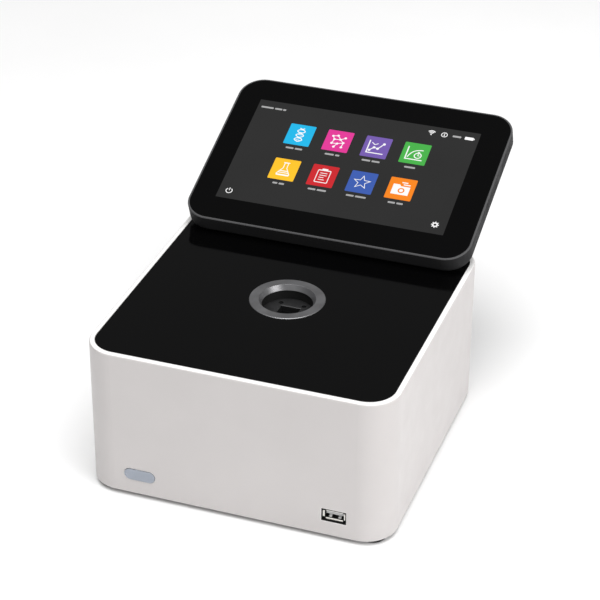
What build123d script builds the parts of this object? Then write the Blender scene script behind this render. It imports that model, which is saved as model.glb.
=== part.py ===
from build123d import *
from math import atan2, cos, radians, sin, tan
import os

# A benchtop cuvette spectrophotometer. Millimetres, Z up, bench at Z = 0.
# X runs to the right as the user sees it, Y runs away from the user.
# The origin is the middle of the bench area that the whole instrument covers.

# ---------------------------------------------------------------- driving dimensions

# case
CASE_WIDTH = 200.0
CASE_DEPTH = 200.0
CASE_HEIGHT = 100.0
CASE_CORNER = 20.5
CASE_WALL = 3.4
RIM_ROUND = 1.2
PANEL_THICK = 3.0
PANEL_EDGE = 0.3
LEDGE_WIDTH = 5.0
LEDGE_THICK = 3.0
BASE_THICK = 2.0
POST_RADIUS = 8.0
POST_INSET = 13.0

# feet and fasteners
FOOT_HEIGHT = 3.0
FOOT_RADIUS = 8.0
FOOT_EDGE = 0.6
M3_RADIUS = 1.5
M3_HEAD_RADIUS = 2.75
M3_HEAD_HEIGHT = 1.4
SOCKET_SHARE = 0.4
HEX_SIDES = 6
LONG_SCREW = 12.0
SHORT_SCREW = 4.4
TAP_DEPTH = 9.4
SEAT_DEPTH = 1.8

# clearances
PART_GAP = 0.15
SCREW_GAP = 0.1
THREAD_GAP = 0.02
SHAFT_GAP = 0.05
SWING_GAP = 0.3
HARNESS_GAP = 1.0

# sample well
WELL_Y = -1.4
COLLAR_RADIUS = 24.3
COLLAR_PROUD = 0.5
COLLAR_EDGE = 0.3
CONE_TOP_RADIUS = 18.2
LIP_RADIUS = 16.3
LIP_DEPTH = 3.5
WELL_RADIUS = 16.7
NECK_WALL = 3.0
WELL_DEPTH = 9.3
CUVETTE_WIDTH = 12.5
CUVETTE_GAP = 0.15
LEAD_IN = 0.4
SLOT_Y = -1.0
SLOT_DEPTH = 36.0
BEAM_HEIGHT = 8.5
BEAM_RADIUS = 2.5
INSERT_THICK = 4.0
INSERT_SCREW_X = 7.8
INSERT_SCREW_Y = 8.4
HOLDER_WIDTH = 44.0

INSERT_SCREW_RADIUS = 1.0
INSERT_HEAD_RADIUS = 1.6
INSERT_HEAD_HEIGHT = 1.0
INSERT_SEAT = 2.0
INSERT_SCREW_GRIP = 4.0
HOLDER_CORNER = 2.0
HOLDER_SCREW_INSET = 5.0
HEATER_WIDTH = 36.0
HEATER_HEIGHT = 28.0
HEATER_THICK = 1.5

# spring-loaded cuvette plunger
PLUNGER_RADIUS = 2.0
PLUNGER_REACH = 0.6
PLUNGER_TRAVEL = 0.7
PLUNGER_Z = 80.0
PLUNGER_SHOULDER = 2.7
PLUNGER_FLANGE = 1.5
PLUNGER_STEM = 4.0
SPRING_SHORTEST = 7.3
SPRING_RADIUS = 1.9
SPRING_WIRE = 0.25
SPRING_TURNS = 5
CAP_THICK = 3.0

# vents in the base plate
VENT_X = 34.0
VENT_Y = -20.0
VENT_LENGTH = 40.0
VENT_WIDTH = 3.0
VENT_PITCH = 8.0
VENT_COUNT = 6

# front port
PORT_X = 65.5
PORT_Z = 14.95
PORT_WIDTH = 16.0
PORT_HEIGHT = 9.1
USB_WIDTH = 13.1
USB_HEIGHT = 5.7
USB_DEPTH = 14.0
USB_SHEET = 0.35
USB_FLARE = 0.9
USB_SIDE_TAB = 4.4
USB_LONG_TAB = 11.0
USB_INSET = 1.5
TONGUE_WIDTH = 11.1
TONGUE_THICK = 1.8
TONGUE_DROP = 0.5
TONGUE_SETBACK = 1.5
USB_BLOCK = 4.0
FRONT_BOARD_WIDTH = 26.0
FRONT_BOARD_DEPTH = 24.0
FRONT_BOARD_HOLE_X = 9.5
FRONT_BOARD_HOLE_Y = -6.0

# badge
BADGE_X = -62.4
BADGE_Z = 14.4
BADGE_LENGTH = 20.6
BADGE_WIDTH = 8.0
BADGE_THICK = 0.9
BADGE_RECESS = 0.5

# rear panel
REAR_OPEN_WIDTH = 140.0
REAR_OPEN_HEIGHT = 68.0
REAR_OPEN_CORNER = 4.0
REAR_PANEL_THICK = 1.5
REAR_LAP = 4.0
M2_RADIUS = 1.0
M2_HEAD_RADIUS = 1.8
M2_HEAD_HEIGHT = 1.2
REAR_SCREW_GRIP = 2.4
PORT_PROUD = 0.8
PORT_BODY = 16.0
PORT_WALL = 0.7
PORT_RECESS = 10.0
PORT_TONGUE = 1.6
DC_X = -49.0
DC_SIZE = 11.0
DC_BORE = 3.2
DC_PIN = 1.0
USB_B_X = -32.0
USB_B_WIDTH = 12.0
USB_B_HEIGHT = 10.8
USB_A_X = (-15.0, 2.0)
HDMI_X = 21.0
HDMI_WIDTH = 15.0
HDMI_HEIGHT = 5.6
NETWORK_X = 46.0
NETWORK_WIDTH = 16.0
NETWORK_HEIGHT = 13.4

# circuit boards
BOARD_THICK = 1.6
BOARD_LIFT = 6.0
MAINBOARD_WIDTH = 132.0
MAINBOARD_DEPTH = 104.0
MAINBOARD_CORNER = 3.0
STANDOFF_RADIUS = 3.0
STANDOFF_INSET = 5.0
SINK_WIDTH = 40.0
SINK_HEIGHT = 18.0
SINK_BASE = 4.0
SINK_FINS = 9
SINK_FIN = 1.5
SINK_Y = 20.0
BATTERY_WIDTH = 90.0
BATTERY_DEPTH = 32.0
BATTERY_HEIGHT = 22.0
BATTERY_X = -25.0
BATTERY_Y = -78.0
BATTERY_CORNER = 3.0

# fan
FAN_SIZE = 40.0
FAN_THICK = 10.0
FAN_X = -40.0
FAN_Z = 53.0
FAN_BLADES = 7
FAN_HUB = 9.0
FAN_HOLE_PITCH = 32.0
FAN_CORNER = 3.0
FAN_BORE = 19.0
FAN_TIP = 18.4
FAN_STRUT = 3.0
FAN_BACK = 1.5
FAN_END_GAP = 0.6
FAN_SHAFT = 1.0
BLADE_THICK = 1.0
BLADE_CHORD = 7.0
BLADE_PITCH = 40.0
GRILLE_HOLE = 1.9
GRILLE_RINGS = ((5.0, 6), (10.0, 12), (15.0, 18))

# power switch
SWITCH_X = 48.0
SWITCH_Z = 53.0
SWITCH_WIDTH = 13.0
SWITCH_HEIGHT = 19.2
SWITCH_THROW = 12.0
SWITCH_FLANGE = 1.0
SWITCH_FLANGE_THICK = 1.2
SWITCH_DEPTH = 16.0
SWITCH_WELL = 10.0
ROCKER_WIDTH = 10.0
ROCKER_HALF = 8.0
ROCKER_FACE = 1.8
ROCKER_DEPTH = 4.0
ROCKER_SIDE = 2.0
ROCKER_PIVOT_IN = 2.3
ROCKER_PIN = 1.0
ROCKER_PIN_REACH = 0.8

# optics
BEAM_RISE = 20.2
BENCH_THICK = 4.0
BENCH_WIDTH = 180.0
BENCH_FRONT = -66.0
BENCH_BACK = 42.0
PILLAR_RADIUS = 4.0
PILLAR_INSET = 9.0
BENCH_CORNER = 4.0
LAMP_LENGTH = 28.0
LAMP_WIDTH = 36.0
LAMP_HEIGHT = 40.0
LAMP_X = -88.0
LAMP_FACE = 4.0
BULB_RADIUS = 10.0
BULB_LENGTH = 26.0
BULB_WINDOW = 6.0
SOCKET_THICK = 2.0
TUBE_RADIUS = 9.0
TUBE_WALL = 2.0
LENS_THICK = 3.0
LENS_CURVE = 14.0
SEAT_IN = 2.0
SPECTRO_X = 36.0
SPECTRO_WIDTH = 54.0
SPECTRO_FRONT = -52.0
SPECTRO_BACK = 18.0
SPECTRO_HEIGHT = 38.0
SPECTRO_WALL = 3.0
SPECTRO_CORNER = 4.0
SPECTRO_BOSS = 4.0
COVER_THICK = 2.0
SLIT_RADIUS = 5.0
SLIT_THICK = 0.5
SLIT_WIDTH = 0.3
SLIT_HEIGHT = 4.0
GRATING_RADIUS = 10.0
GRATING_THICK = 5.0
GRATING_CURVE = 50.0
GRATING_Y = -13.0
GRATING_X = 79.0
GRATING_SAG = 1.2
MOUNT_WIDTH = 24.0
MOUNT_THICK = 2.0
MOUNT_FOOT = 9.0
SENSOR_Y = -25.0
SENSOR_LENGTH = 32.0
SENSOR_HEIGHT = 9.0
SENSOR_THICK = 3.0
SENSOR_BOARD_LENGTH = 35.0
SENSOR_BOARD_HEIGHT = 28.0

# display
DISPLAY_WIDTH = 196.8
DISPLAY_HEIGHT = 134.3
DISPLAY_THICK = 12.4
DISPLAY_CORNER = 17.0
DISPLAY_EDGE = 2.5
DISPLAY_CHAMFER = 0.45
DISPLAY_LIP = 1.2
DISPLAY_WALL = 2.0
DISPLAY_TILT = 20.0
DISPLAY_LOW_Y = 61.2
DISPLAY_GAP = 0.65
GLASS_THICK = 1.8
SCREEN_WIDTH = 158.6
SCREEN_HEIGHT = 94.0
SCREEN_X = -1.4
SCREEN_LOW = 20.2
LCD_MARGIN = 4.0
LCD_THICK = 3.1
CHASSIS_THICK = 1.2
CHASSIS_LOW = 8.0
DISPLAY_SCREW_INSET = 14.0
DISPLAY_SCREW_LOW = 24.0
BOSS_RADIUS = 3.4
BOSS_SEAT = 2.2
DISPLAY_BOARD_WIDTH = 96.0
DISPLAY_BOARD_HEIGHT = 56.0
DISPLAY_BOARD_LOW = 50.0
DISPLAY_BOARD_CHIPS = 2.0
CHIP_WIDTH = 14.0
CHIP_PITCH = 28.0

# display hinge
HINGE_INSET = 4.2
KNUCKLE_RADIUS = 3.0
PIN_RADIUS = 1.5
PIN_HEAD_RADIUS = 2.4
PIN_HEAD = 1.2
ARM_X = 59.5
ARM_WIDTH = 9.0
ARM_THICK = 3.0
ARM_DROOP = 25.0
ARM_LEG_Y = 78.0
ARM_BEND = 2.2
ARM_FOOT = 16.0
WASHER_THICK = 1.0
LEAF_WIDTH = 8.0
LEAF_LENGTH = 32.0
LEAF_THICK = 1.2
BRACKET_FRONT = 58.0
BRACKET_WINDOW_WIDTH = 90.0
BRACKET_WINDOW_DEPTH = 20.0
BRACKET_WINDOW_CORNER = 4.0
ARM_SCREW_IN = 4.0
ARM_SCREW_PITCH = 6.5
LEAF_SCREW_IN = 4.0
ARM_SLOT_LOW = 2.2
ARM_SLOT_HIGH = 16.6
ARM_SLOT_GAP = 0.6

# ---------------------------------------------------------------- worked-out places

TOP_Z = FOOT_HEIGHT + CASE_HEIGHT
FLOOR_Z = FOOT_HEIGHT + BASE_THICK
PANEL_Z = TOP_Z - PANEL_THICK
LEDGE_Z = PANEL_Z - LEDGE_THICK
FRONT_Y = -CASE_DEPTH / 2
BACK_Y = CASE_DEPTH / 2
INNER_WIDTH = CASE_WIDTH - 2 * CASE_WALL
INNER_DEPTH = CASE_DEPTH - 2 * CASE_WALL
INNER_CORNER = CASE_CORNER - CASE_WALL
NECK_RADIUS = WELL_RADIUS + NECK_WALL
MAINBOARD_Y = BACK_Y - CASE_WALL - REAR_PANEL_THICK - HARNESS_GAP - MAINBOARD_DEPTH / 2
REAR_OPEN_Z = FLOOR_Z + PART_GAP + REAR_LAP + REAR_OPEN_HEIGHT / 2
REAR_FACE_Y = BACK_Y - CASE_WALL
REAR_INNER_Y = REAR_FACE_Y - REAR_PANEL_THICK
REAR_SCREWS = [
    (sx * (REAR_OPEN_WIDTH + REAR_LAP) / 2, REAR_OPEN_Z + sz * (REAR_OPEN_HEIGHT + REAR_LAP) / 2)
    for sx in (-1, 1)
    for sz in (-1, 1)
]
POST_X = CASE_WIDTH / 2 - POST_INSET
POST_Y = CASE_DEPTH / 2 - POST_INSET

TILT = radians(DISPLAY_TILT)
UP_GLASS = (0, cos(TILT), sin(TILT))
OUT_OF_GLASS = (0, -sin(TILT), cos(TILT))
EDGE_UP = DISPLAY_HEIGHT - DISPLAY_EDGE
EDGE_BACK = DISPLAY_THICK - DISPLAY_EDGE
DISPLAY_LOW_Z = TOP_Z + DISPLAY_GAP + DISPLAY_EDGE + EDGE_BACK * cos(TILT) - DISPLAY_EDGE * sin(TILT)
AXIS_DEPTH = DISPLAY_THICK - HINGE_INSET
AXIS_Y = DISPLAY_LOW_Y + HINGE_INSET * cos(TILT) + AXIS_DEPTH * sin(TILT)
AXIS_Z = DISPLAY_LOW_Z + HINGE_INSET * sin(TILT) - AXIS_DEPTH * cos(TILT)

CHASSIS_BACK = GLASS_THICK + LCD_THICK + CHASSIS_THICK

# The display hangs out behind the case, so the case stands forward of the origin.
REARMOST = DISPLAY_LOW_Y + EDGE_UP * cos(TILT) + EDGE_BACK * sin(TILT) + DISPLAY_EDGE
CASE_Y = -(REARMOST + FRONT_Y) / 2

BRACKET_SCREWS = [(sx * (POST_X - POST_RADIUS / 2), POST_Y - POST_RADIUS / 2) for sx in (-1, 1)]

WELL_FLOOR_Z = TOP_Z - WELL_DEPTH
HOLDER_TOP_Z = WELL_FLOOR_Z - INSERT_THICK
SLOT_BOTTOM_Z = WELL_FLOOR_Z - SLOT_DEPTH
BEAM_Z = SLOT_BOTTOM_Z + BEAM_HEIGHT
SLOT_WIDTH = CUVETTE_WIDTH + 2 * CUVETTE_GAP
SPRING_LENGTH = SPRING_SHORTEST + PLUNGER_TRAVEL
BENCH_TOP_Z = BEAM_Z - BEAM_RISE
BENCH_Z = BENCH_TOP_Z - BENCH_THICK


# ---------------------------------------------------------------- reference planes

def level(height):
    """Horizontal plane centred on the case: local x, y are X and case Y."""
    return Plane(origin=(0, CASE_Y, height))


def upright(y):
    """Plane across the case, facing the user: local x, y are X and Z, and +z is forward."""
    return Plane(origin=(0, CASE_Y + y, 0), x_dir=(1, 0, 0), z_dir=(0, -1, 0))


def side(x):
    """Plane along the case, facing right: local x, y are case Y and Z, and +z is to the right."""
    return Plane(origin=(x, CASE_Y, 0), x_dir=(0, 1, 0), z_dir=(1, 0, 0))


def behind_glass(depth):
    """Plane of the display, a depth behind its face: local y runs up from its lower edge."""
    face = Plane(origin=(0, CASE_Y + DISPLAY_LOW_Y, DISPLAY_LOW_Z), x_dir=(1, 0, 0), z_dir=OUT_OF_GLASS)
    return face.offset(-depth)


def display_side(x):
    """Plane across the hinge axis: local x runs up the glass, local y out of it, and +z right."""
    return Plane(origin=(x, CASE_Y + AXIS_Y, AXIS_Z), x_dir=UP_GLASS, z_dir=(1, 0, 0))


def screws(sets, length, radius=M3_RADIUS, head_radius=M3_HEAD_RADIUS, head_height=M3_HEAD_HEIGHT):
    """Makes one group of socket screws from pairs of a plane and the places on it.

    The heads stand on the plane's +z side, and the shanks go down from it.
    """
    with BuildPart() as group:
        for plane, places in sets:
            with BuildSketch(plane):
                with Locations(*places):
                    Circle(head_radius)
            extrude(amount=head_height)
            with BuildSketch(plane):
                with Locations(*places):
                    Circle(radius)
            extrude(amount=-length)
            with BuildSketch(plane.offset(head_height)):
                with Locations(*places):
                    RegularPolygon(head_radius * SOCKET_SHARE, HEX_SIDES)
            extrude(amount=-head_height / 2, mode=Mode.SUBTRACT)
    return group


def flipped(places):
    """The same places as seen from underneath, where local y runs the other way."""
    return [(x, -y) for x, y in places]


def under(height):
    """Horizontal plane centred on the case that faces down: local y runs forward."""
    return Plane(origin=(0, CASE_Y, height), x_dir=(1, 0, 0), z_dir=(0, 0, -1))


def outside_display(depth):
    """Plane of the display that faces out of its back: local y runs down the glass."""
    facing = behind_glass(depth)
    return Plane(origin=facing.origin, x_dir=(1, 0, 0), z_dir=-facing.z_dir)


def both_sides(inner, outer):
    """The starts of two runs along the hinge axis, one on each side of the middle."""
    return (inner, -outer)


def keep(piece, name):
    """Names a finished piece and writes it to its own file."""
    piece.part.label = name
    export_step(piece.part, f"parts/{name}.step")


os.makedirs("parts", exist_ok=True)

# ---------------------------------------------------------------- case

with BuildPart() as outer_shell:
    with BuildSketch(level(FOOT_HEIGHT)):
        RectangleRounded(CASE_WIDTH, CASE_DEPTH, CASE_CORNER)
    extrude(amount=CASE_HEIGHT)
    fillet(outer_shell.faces().sort_by(Axis.Z)[-1].edges(), RIM_ROUND)
    chamfer(outer_shell.faces().sort_by(Axis.Z)[0].edges(), FOOT_EDGE)
    with BuildSketch(level(FOOT_HEIGHT)):
        RectangleRounded(INNER_WIDTH, INNER_DEPTH, INNER_CORNER)
    extrude(amount=CASE_HEIGHT, mode=Mode.SUBTRACT)
    # ledge under the top panel
    with BuildSketch(level(LEDGE_Z)):
        RectangleRounded(INNER_WIDTH, INNER_DEPTH, INNER_CORNER)
        offset(amount=-LEDGE_WIDTH, mode=Mode.SUBTRACT)
    extrude(amount=LEDGE_THICK)
    # corner posts, tapped at the foot and, at the back, at the top too
    with BuildSketch(level(FLOOR_Z)):
        with GridLocations(2 * POST_X, 2 * POST_Y, 2, 2):
            Circle(POST_RADIUS)
    extrude(amount=LEDGE_Z - FLOOR_Z)
    with BuildSketch(level(FLOOR_Z)):
        with GridLocations(2 * POST_X, 2 * POST_Y, 2, 2):
            Circle(M3_RADIUS + THREAD_GAP)
    extrude(amount=TAP_DEPTH, mode=Mode.SUBTRACT)
    with BuildSketch(level(LEDGE_Z)):
        with Locations(*BRACKET_SCREWS):
            Circle(M3_RADIUS + THREAD_GAP)
    extrude(amount=-LONG_SCREW, mode=Mode.SUBTRACT)
    # openings
    with BuildSketch(upright(FRONT_Y)):
        with Locations((PORT_X, FOOT_HEIGHT + PORT_Z)):
            Rectangle(PORT_WIDTH, PORT_HEIGHT)
    extrude(amount=-CASE_WALL, mode=Mode.SUBTRACT)
    with BuildSketch(upright(FRONT_Y)):
        with Locations((BADGE_X, FOOT_HEIGHT + BADGE_Z)):
            SlotOverall(BADGE_LENGTH + 2 * PART_GAP, BADGE_WIDTH + 2 * PART_GAP)
    extrude(amount=-BADGE_RECESS, mode=Mode.SUBTRACT)
    with BuildSketch(upright(BACK_Y)):
        with Locations((0, REAR_OPEN_Z)):
            RectangleRounded(REAR_OPEN_WIDTH, REAR_OPEN_HEIGHT, REAR_OPEN_CORNER)
    extrude(amount=CASE_WALL, mode=Mode.SUBTRACT)
    with BuildSketch(upright(REAR_FACE_Y)):
        with Locations(*REAR_SCREWS):
            Circle(M2_RADIUS + THREAD_GAP)
    extrude(amount=-REAR_SCREW_GRIP - SCREW_GAP, mode=Mode.SUBTRACT)
keep(outer_shell, "outer_shell")

with BuildPart() as top_panel:
    with BuildSketch(level(PANEL_Z)):
        RectangleRounded(INNER_WIDTH - 2 * PART_GAP, INNER_DEPTH - 2 * PART_GAP, INNER_CORNER - PART_GAP)
    extrude(amount=PANEL_THICK)
    chamfer(top_panel.faces().sort_by(Axis.Z)[-1].edges(), PANEL_EDGE)
    with BuildSketch(level(PANEL_Z)):
        with Locations((0, WELL_Y)):
            Circle(NECK_RADIUS + PART_GAP)
        with Locations((-ARM_X, ARM_LEG_Y), (ARM_X, ARM_LEG_Y)):
            Rectangle(ARM_WIDTH + 2 * SWING_GAP, ARM_THICK + 2 * ARM_BEND)
    extrude(amount=PANEL_THICK, mode=Mode.SUBTRACT)
keep(top_panel, "top_panel")

FEET = [(sx * POST_X, sy * POST_Y) for sx in (-1, 1) for sy in (-1, 1)]
PILLARS = [
    (sx * (BENCH_WIDTH / 2 - PILLAR_INSET), y)
    for sx in (-1, 1)
    for y in (BENCH_FRONT + PILLAR_INSET, BENCH_BACK - PILLAR_INSET)
]
BOARD_HOLES = [
    (sx * (MAINBOARD_WIDTH / 2 - STANDOFF_INSET), MAINBOARD_Y + sy * (MAINBOARD_DEPTH / 2 - STANDOFF_INSET))
    for sx in (-1, 1)
    for sy in (-1, 1)
]
FRONT_BOARD_TOP = FOOT_HEIGHT + PORT_Z - USB_HEIGHT / 2
FRONT_BOARD_Y = FRONT_Y + CASE_WALL + PART_GAP + FRONT_BOARD_DEPTH / 2
FRONT_BOARD_HOLES = [
    (PORT_X - FRONT_BOARD_HOLE_X, FRONT_BOARD_Y - FRONT_BOARD_HOLE_Y),
    (PORT_X + FRONT_BOARD_HOLE_X, FRONT_BOARD_Y - FRONT_BOARD_HOLE_Y),
]

with BuildPart() as base_plate:
    with BuildSketch(level(FOOT_HEIGHT)):
        RectangleRounded(INNER_WIDTH - 2 * PART_GAP, INNER_DEPTH - 2 * PART_GAP, INNER_CORNER - PART_GAP)
        with Locations(*FEET, *PILLARS, *FRONT_BOARD_HOLES, *BOARD_HOLES):
            Circle(M3_RADIUS + SCREW_GAP, mode=Mode.SUBTRACT)
        for vent_x in (-VENT_X, VENT_X):
            with Locations((vent_x, VENT_Y)):
                with GridLocations(0, VENT_PITCH, 1, VENT_COUNT):
                    SlotOverall(VENT_LENGTH, VENT_WIDTH, mode=Mode.SUBTRACT)
    extrude(amount=BASE_THICK)
keep(base_plate, "base_plate")

with BuildPart() as rubber_feet:
    with BuildSketch(level(0)):
        with Locations(*FEET):
            Circle(FOOT_RADIUS)
    extrude(amount=FOOT_HEIGHT)
    chamfer(rubber_feet.faces().group_by(Axis.Z)[0].edges(), FOOT_EDGE)
    with BuildSketch(level(0)):
        with Locations(*FEET):
            Circle(M3_HEAD_RADIUS + SWING_GAP)
    extrude(amount=SEAT_DEPTH, mode=Mode.SUBTRACT)
    with BuildSketch(level(SEAT_DEPTH)):
        with Locations(*FEET):
            Circle(M3_RADIUS + SCREW_GAP)
    extrude(amount=FOOT_HEIGHT - SEAT_DEPTH, mode=Mode.SUBTRACT)
keep(rubber_feet, "rubber_feet")

with BuildPart() as front_badge:
    with BuildSketch(upright(FRONT_Y + BADGE_RECESS)):
        with Locations((BADGE_X, FOOT_HEIGHT + BADGE_Z)):
            SlotOverall(BADGE_LENGTH, BADGE_WIDTH)
    extrude(amount=BADGE_THICK)
    fillet(front_badge.faces().sort_by(Axis.Y)[0].edges(), BADGE_RECESS / 2)
keep(front_badge, "front_badge")

# ---------------------------------------------------------------- sample well

with BuildPart() as well_collar:
    with BuildSketch(upright(WELL_Y)):
        with BuildLine():
            Polyline(
                (CONE_TOP_RADIUS, TOP_Z + COLLAR_PROUD),
                (COLLAR_RADIUS - COLLAR_EDGE, TOP_Z + COLLAR_PROUD),
                (COLLAR_RADIUS, TOP_Z + COLLAR_PROUD - COLLAR_EDGE),
                (COLLAR_RADIUS, TOP_Z),
                (NECK_RADIUS, TOP_Z),
                (NECK_RADIUS, HOLDER_TOP_Z),
                (WELL_RADIUS, HOLDER_TOP_Z),
                (WELL_RADIUS, TOP_Z + COLLAR_PROUD - LIP_DEPTH - COLLAR_EDGE),
                (LIP_RADIUS, TOP_Z + COLLAR_PROUD - LIP_DEPTH),
                close=True,
            )
        make_face()
    revolve(axis=Axis((0, CASE_Y + WELL_Y, 0), (0, 0, 1)))
keep(well_collar, "well_collar")

INSERT_SCREWS = [(-INSERT_SCREW_X, INSERT_SCREW_Y), (INSERT_SCREW_X, INSERT_SCREW_Y)]

with BuildPart() as slot_insert:
    with BuildSketch(level(HOLDER_TOP_Z)):
        with Locations((0, WELL_Y)):
            Circle(WELL_RADIUS - PART_GAP)
    extrude(amount=INSERT_THICK)
    with BuildSketch(level(HOLDER_TOP_Z)):
        with Locations((0, SLOT_Y)):
            Rectangle(SLOT_WIDTH, SLOT_WIDTH)
    extrude(amount=INSERT_THICK, mode=Mode.SUBTRACT)
    chamfer(slot_insert.faces().sort_by(Axis.Z)[-1].inner_wires()[0].edges(), LEAD_IN)
    with Locations(level(WELL_FLOOR_Z)):
        with Locations(*INSERT_SCREWS):
            CounterBoreHole(
                INSERT_SCREW_RADIUS + SCREW_GAP, INSERT_HEAD_RADIUS + SCREW_GAP, INSERT_SEAT, INSERT_THICK
            )
keep(slot_insert, "slot_insert")

HOLDER_HALF = HOLDER_WIDTH / 2
SLOT_BACK = SLOT_Y + SLOT_WIDTH / 2
FLANGE_FACE = SLOT_BACK + PLUNGER_STEM
HOLDER_SCREWS = [
    (sx * (HOLDER_HALF - HOLDER_SCREW_INSET), sy * (HOLDER_HALF - HOLDER_SCREW_INSET))
    for sx in (-1, 1)
    for sy in (-1, 1)
]

with BuildPart() as cuvette_holder:
    with BuildSketch(level(BENCH_TOP_Z)):
        RectangleRounded(HOLDER_WIDTH, HOLDER_WIDTH, HOLDER_CORNER)
    extrude(amount=HOLDER_TOP_Z - BENCH_TOP_Z)
    with BuildSketch(level(SLOT_BOTTOM_Z)):
        with Locations((0, SLOT_Y)):
            Rectangle(SLOT_WIDTH, SLOT_WIDTH)
    extrude(amount=SLOT_DEPTH, mode=Mode.SUBTRACT)
    # light path across the slot, with seats for the two lens tubes
    with BuildSketch(side(-HOLDER_HALF)):
        with Locations((SLOT_Y, BEAM_Z)):
            Circle(BEAM_RADIUS)
    extrude(amount=HOLDER_WIDTH, mode=Mode.SUBTRACT)
    for seat_x in (-HOLDER_HALF, HOLDER_HALF - SEAT_IN):
        with BuildSketch(side(seat_x)):
            with Locations((SLOT_Y, BEAM_Z)):
                Circle(TUBE_RADIUS + THREAD_GAP)
        extrude(amount=SEAT_IN, mode=Mode.SUBTRACT)
    # stepped bore for the plunger and its spring
    with BuildSketch(upright(HOLDER_HALF)):
        with Locations((0, PLUNGER_Z)):
            Circle(PLUNGER_RADIUS + SHAFT_GAP)
    extrude(amount=HOLDER_HALF - SLOT_BACK, mode=Mode.SUBTRACT)
    with BuildSketch(upright(HOLDER_HALF)):
        with Locations((0, PLUNGER_Z)):
            Circle(PLUNGER_SHOULDER + SHAFT_GAP)
    extrude(amount=HOLDER_HALF - FLANGE_FACE, mode=Mode.SUBTRACT)
    # tapped holes
    with BuildSketch(level(HOLDER_TOP_Z)):
        with Locations(*INSERT_SCREWS):
            Circle(INSERT_SCREW_RADIUS + THREAD_GAP)
    extrude(amount=-INSERT_SCREW_GRIP - SWING_GAP, mode=Mode.SUBTRACT)
    with BuildSketch(level(BENCH_TOP_Z)):
        with Locations(*HOLDER_SCREWS):
            Circle(M3_RADIUS + THREAD_GAP)
    extrude(amount=TAP_DEPTH, mode=Mode.SUBTRACT)
keep(cuvette_holder, "cuvette_holder")

with BuildPart() as cuvette_plunger:
    with BuildSketch(Plane(origin=(0, CASE_Y + SLOT_BACK, PLUNGER_Z), x_dir=(1, 0, 0), z_dir=(0, 0, 1))):
        with BuildLine():
            nose_back = PLUNGER_RADIUS - PLUNGER_REACH
            Polyline(
                (0, -PLUNGER_REACH),
                (0, PLUNGER_STEM + PLUNGER_FLANGE),
                (PLUNGER_SHOULDER, PLUNGER_STEM + PLUNGER_FLANGE),
                (PLUNGER_SHOULDER, PLUNGER_STEM),
                (PLUNGER_RADIUS, PLUNGER_STEM),
                (PLUNGER_RADIUS, nose_back),
            )
            RadiusArc((PLUNGER_RADIUS, nose_back), (0, -PLUNGER_REACH), PLUNGER_RADIUS)
        make_face()
    revolve(axis=Axis((0, CASE_Y, PLUNGER_Z), (0, 1, 0)))
keep(cuvette_plunger, "cuvette_plunger")

SPRING_START = FLANGE_FACE + PLUNGER_FLANGE
with BuildPart() as plunger_spring:
    with BuildLine() as coil:
        Helix(
            (SPRING_LENGTH - 2 * SPRING_WIRE) / SPRING_TURNS,
            SPRING_LENGTH - 2 * SPRING_WIRE,
            SPRING_RADIUS,
            center=(0, CASE_Y + SPRING_START + SPRING_WIRE, PLUNGER_Z),
            direction=(0, 1, 0),
        )
    with BuildSketch(Plane(origin=coil.line @ 0, z_dir=coil.line % 0)):
        Circle(SPRING_WIRE)
    sweep(is_frenet=True)
keep(plunger_spring, "plunger_spring")

with BuildPart() as plunger_cap:
    with BuildSketch(upright(SPRING_START + SPRING_LENGTH)):
        with Locations((0, PLUNGER_Z)):
            Circle(PLUNGER_SHOULDER)
            RegularPolygon(PLUNGER_SHOULDER * SOCKET_SHARE, HEX_SIDES, mode=Mode.SUBTRACT)
    extrude(amount=-CAP_THICK)
keep(plunger_cap, "plunger_cap")

with BuildPart() as cuvette_heater:
    with BuildSketch(upright(-HOLDER_HALF)):
        with Locations((0, (BENCH_TOP_Z + HOLDER_TOP_Z) / 2)):
            RectangleRounded(HEATER_WIDTH, HEATER_HEIGHT, HOLDER_CORNER)
    extrude(amount=HEATER_THICK)
keep(cuvette_heater, "cuvette_heater")

# ---------------------------------------------------------------- front port

PORT_CENTRE = (PORT_X, FOOT_HEIGHT + PORT_Z)
USB_FACE_Y = FRONT_Y + USB_INSET

with BuildPart() as front_usb_shell:
    with BuildSketch(upright(USB_FACE_Y)):
        with Locations(PORT_CENTRE):
            Rectangle(USB_WIDTH, USB_HEIGHT)
    extrude(amount=-USB_DEPTH)
    with BuildSketch(upright(USB_FACE_Y)):
        with Locations(PORT_CENTRE):
            Rectangle(USB_LONG_TAB, USB_HEIGHT + 2 * USB_FLARE)
            Rectangle(USB_WIDTH + 2 * USB_FLARE, USB_SIDE_TAB)
    extrude(amount=-USB_SHEET)
    with BuildSketch(upright(USB_FACE_Y)):
        with Locations(PORT_CENTRE):
            Rectangle(USB_WIDTH - 2 * USB_SHEET, USB_HEIGHT - 2 * USB_SHEET)
    extrude(amount=-USB_DEPTH, mode=Mode.SUBTRACT)
keep(front_usb_shell, "front_usb_shell")

with BuildPart() as front_usb_tongue:
    with BuildSketch(upright(USB_FACE_Y + USB_DEPTH - USB_BLOCK)):
        with Locations(PORT_CENTRE):
            Rectangle(USB_WIDTH - 2 * USB_SHEET, USB_HEIGHT - 2 * USB_SHEET)
    extrude(amount=-USB_BLOCK)
    with BuildSketch(upright(USB_FACE_Y + TONGUE_SETBACK)):
        with Locations((PORT_X, FOOT_HEIGHT + PORT_Z + TONGUE_DROP)):
            Rectangle(TONGUE_WIDTH, TONGUE_THICK)
    extrude(amount=-(USB_DEPTH - USB_BLOCK - TONGUE_SETBACK))
keep(front_usb_tongue, "front_usb_tongue")

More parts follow.
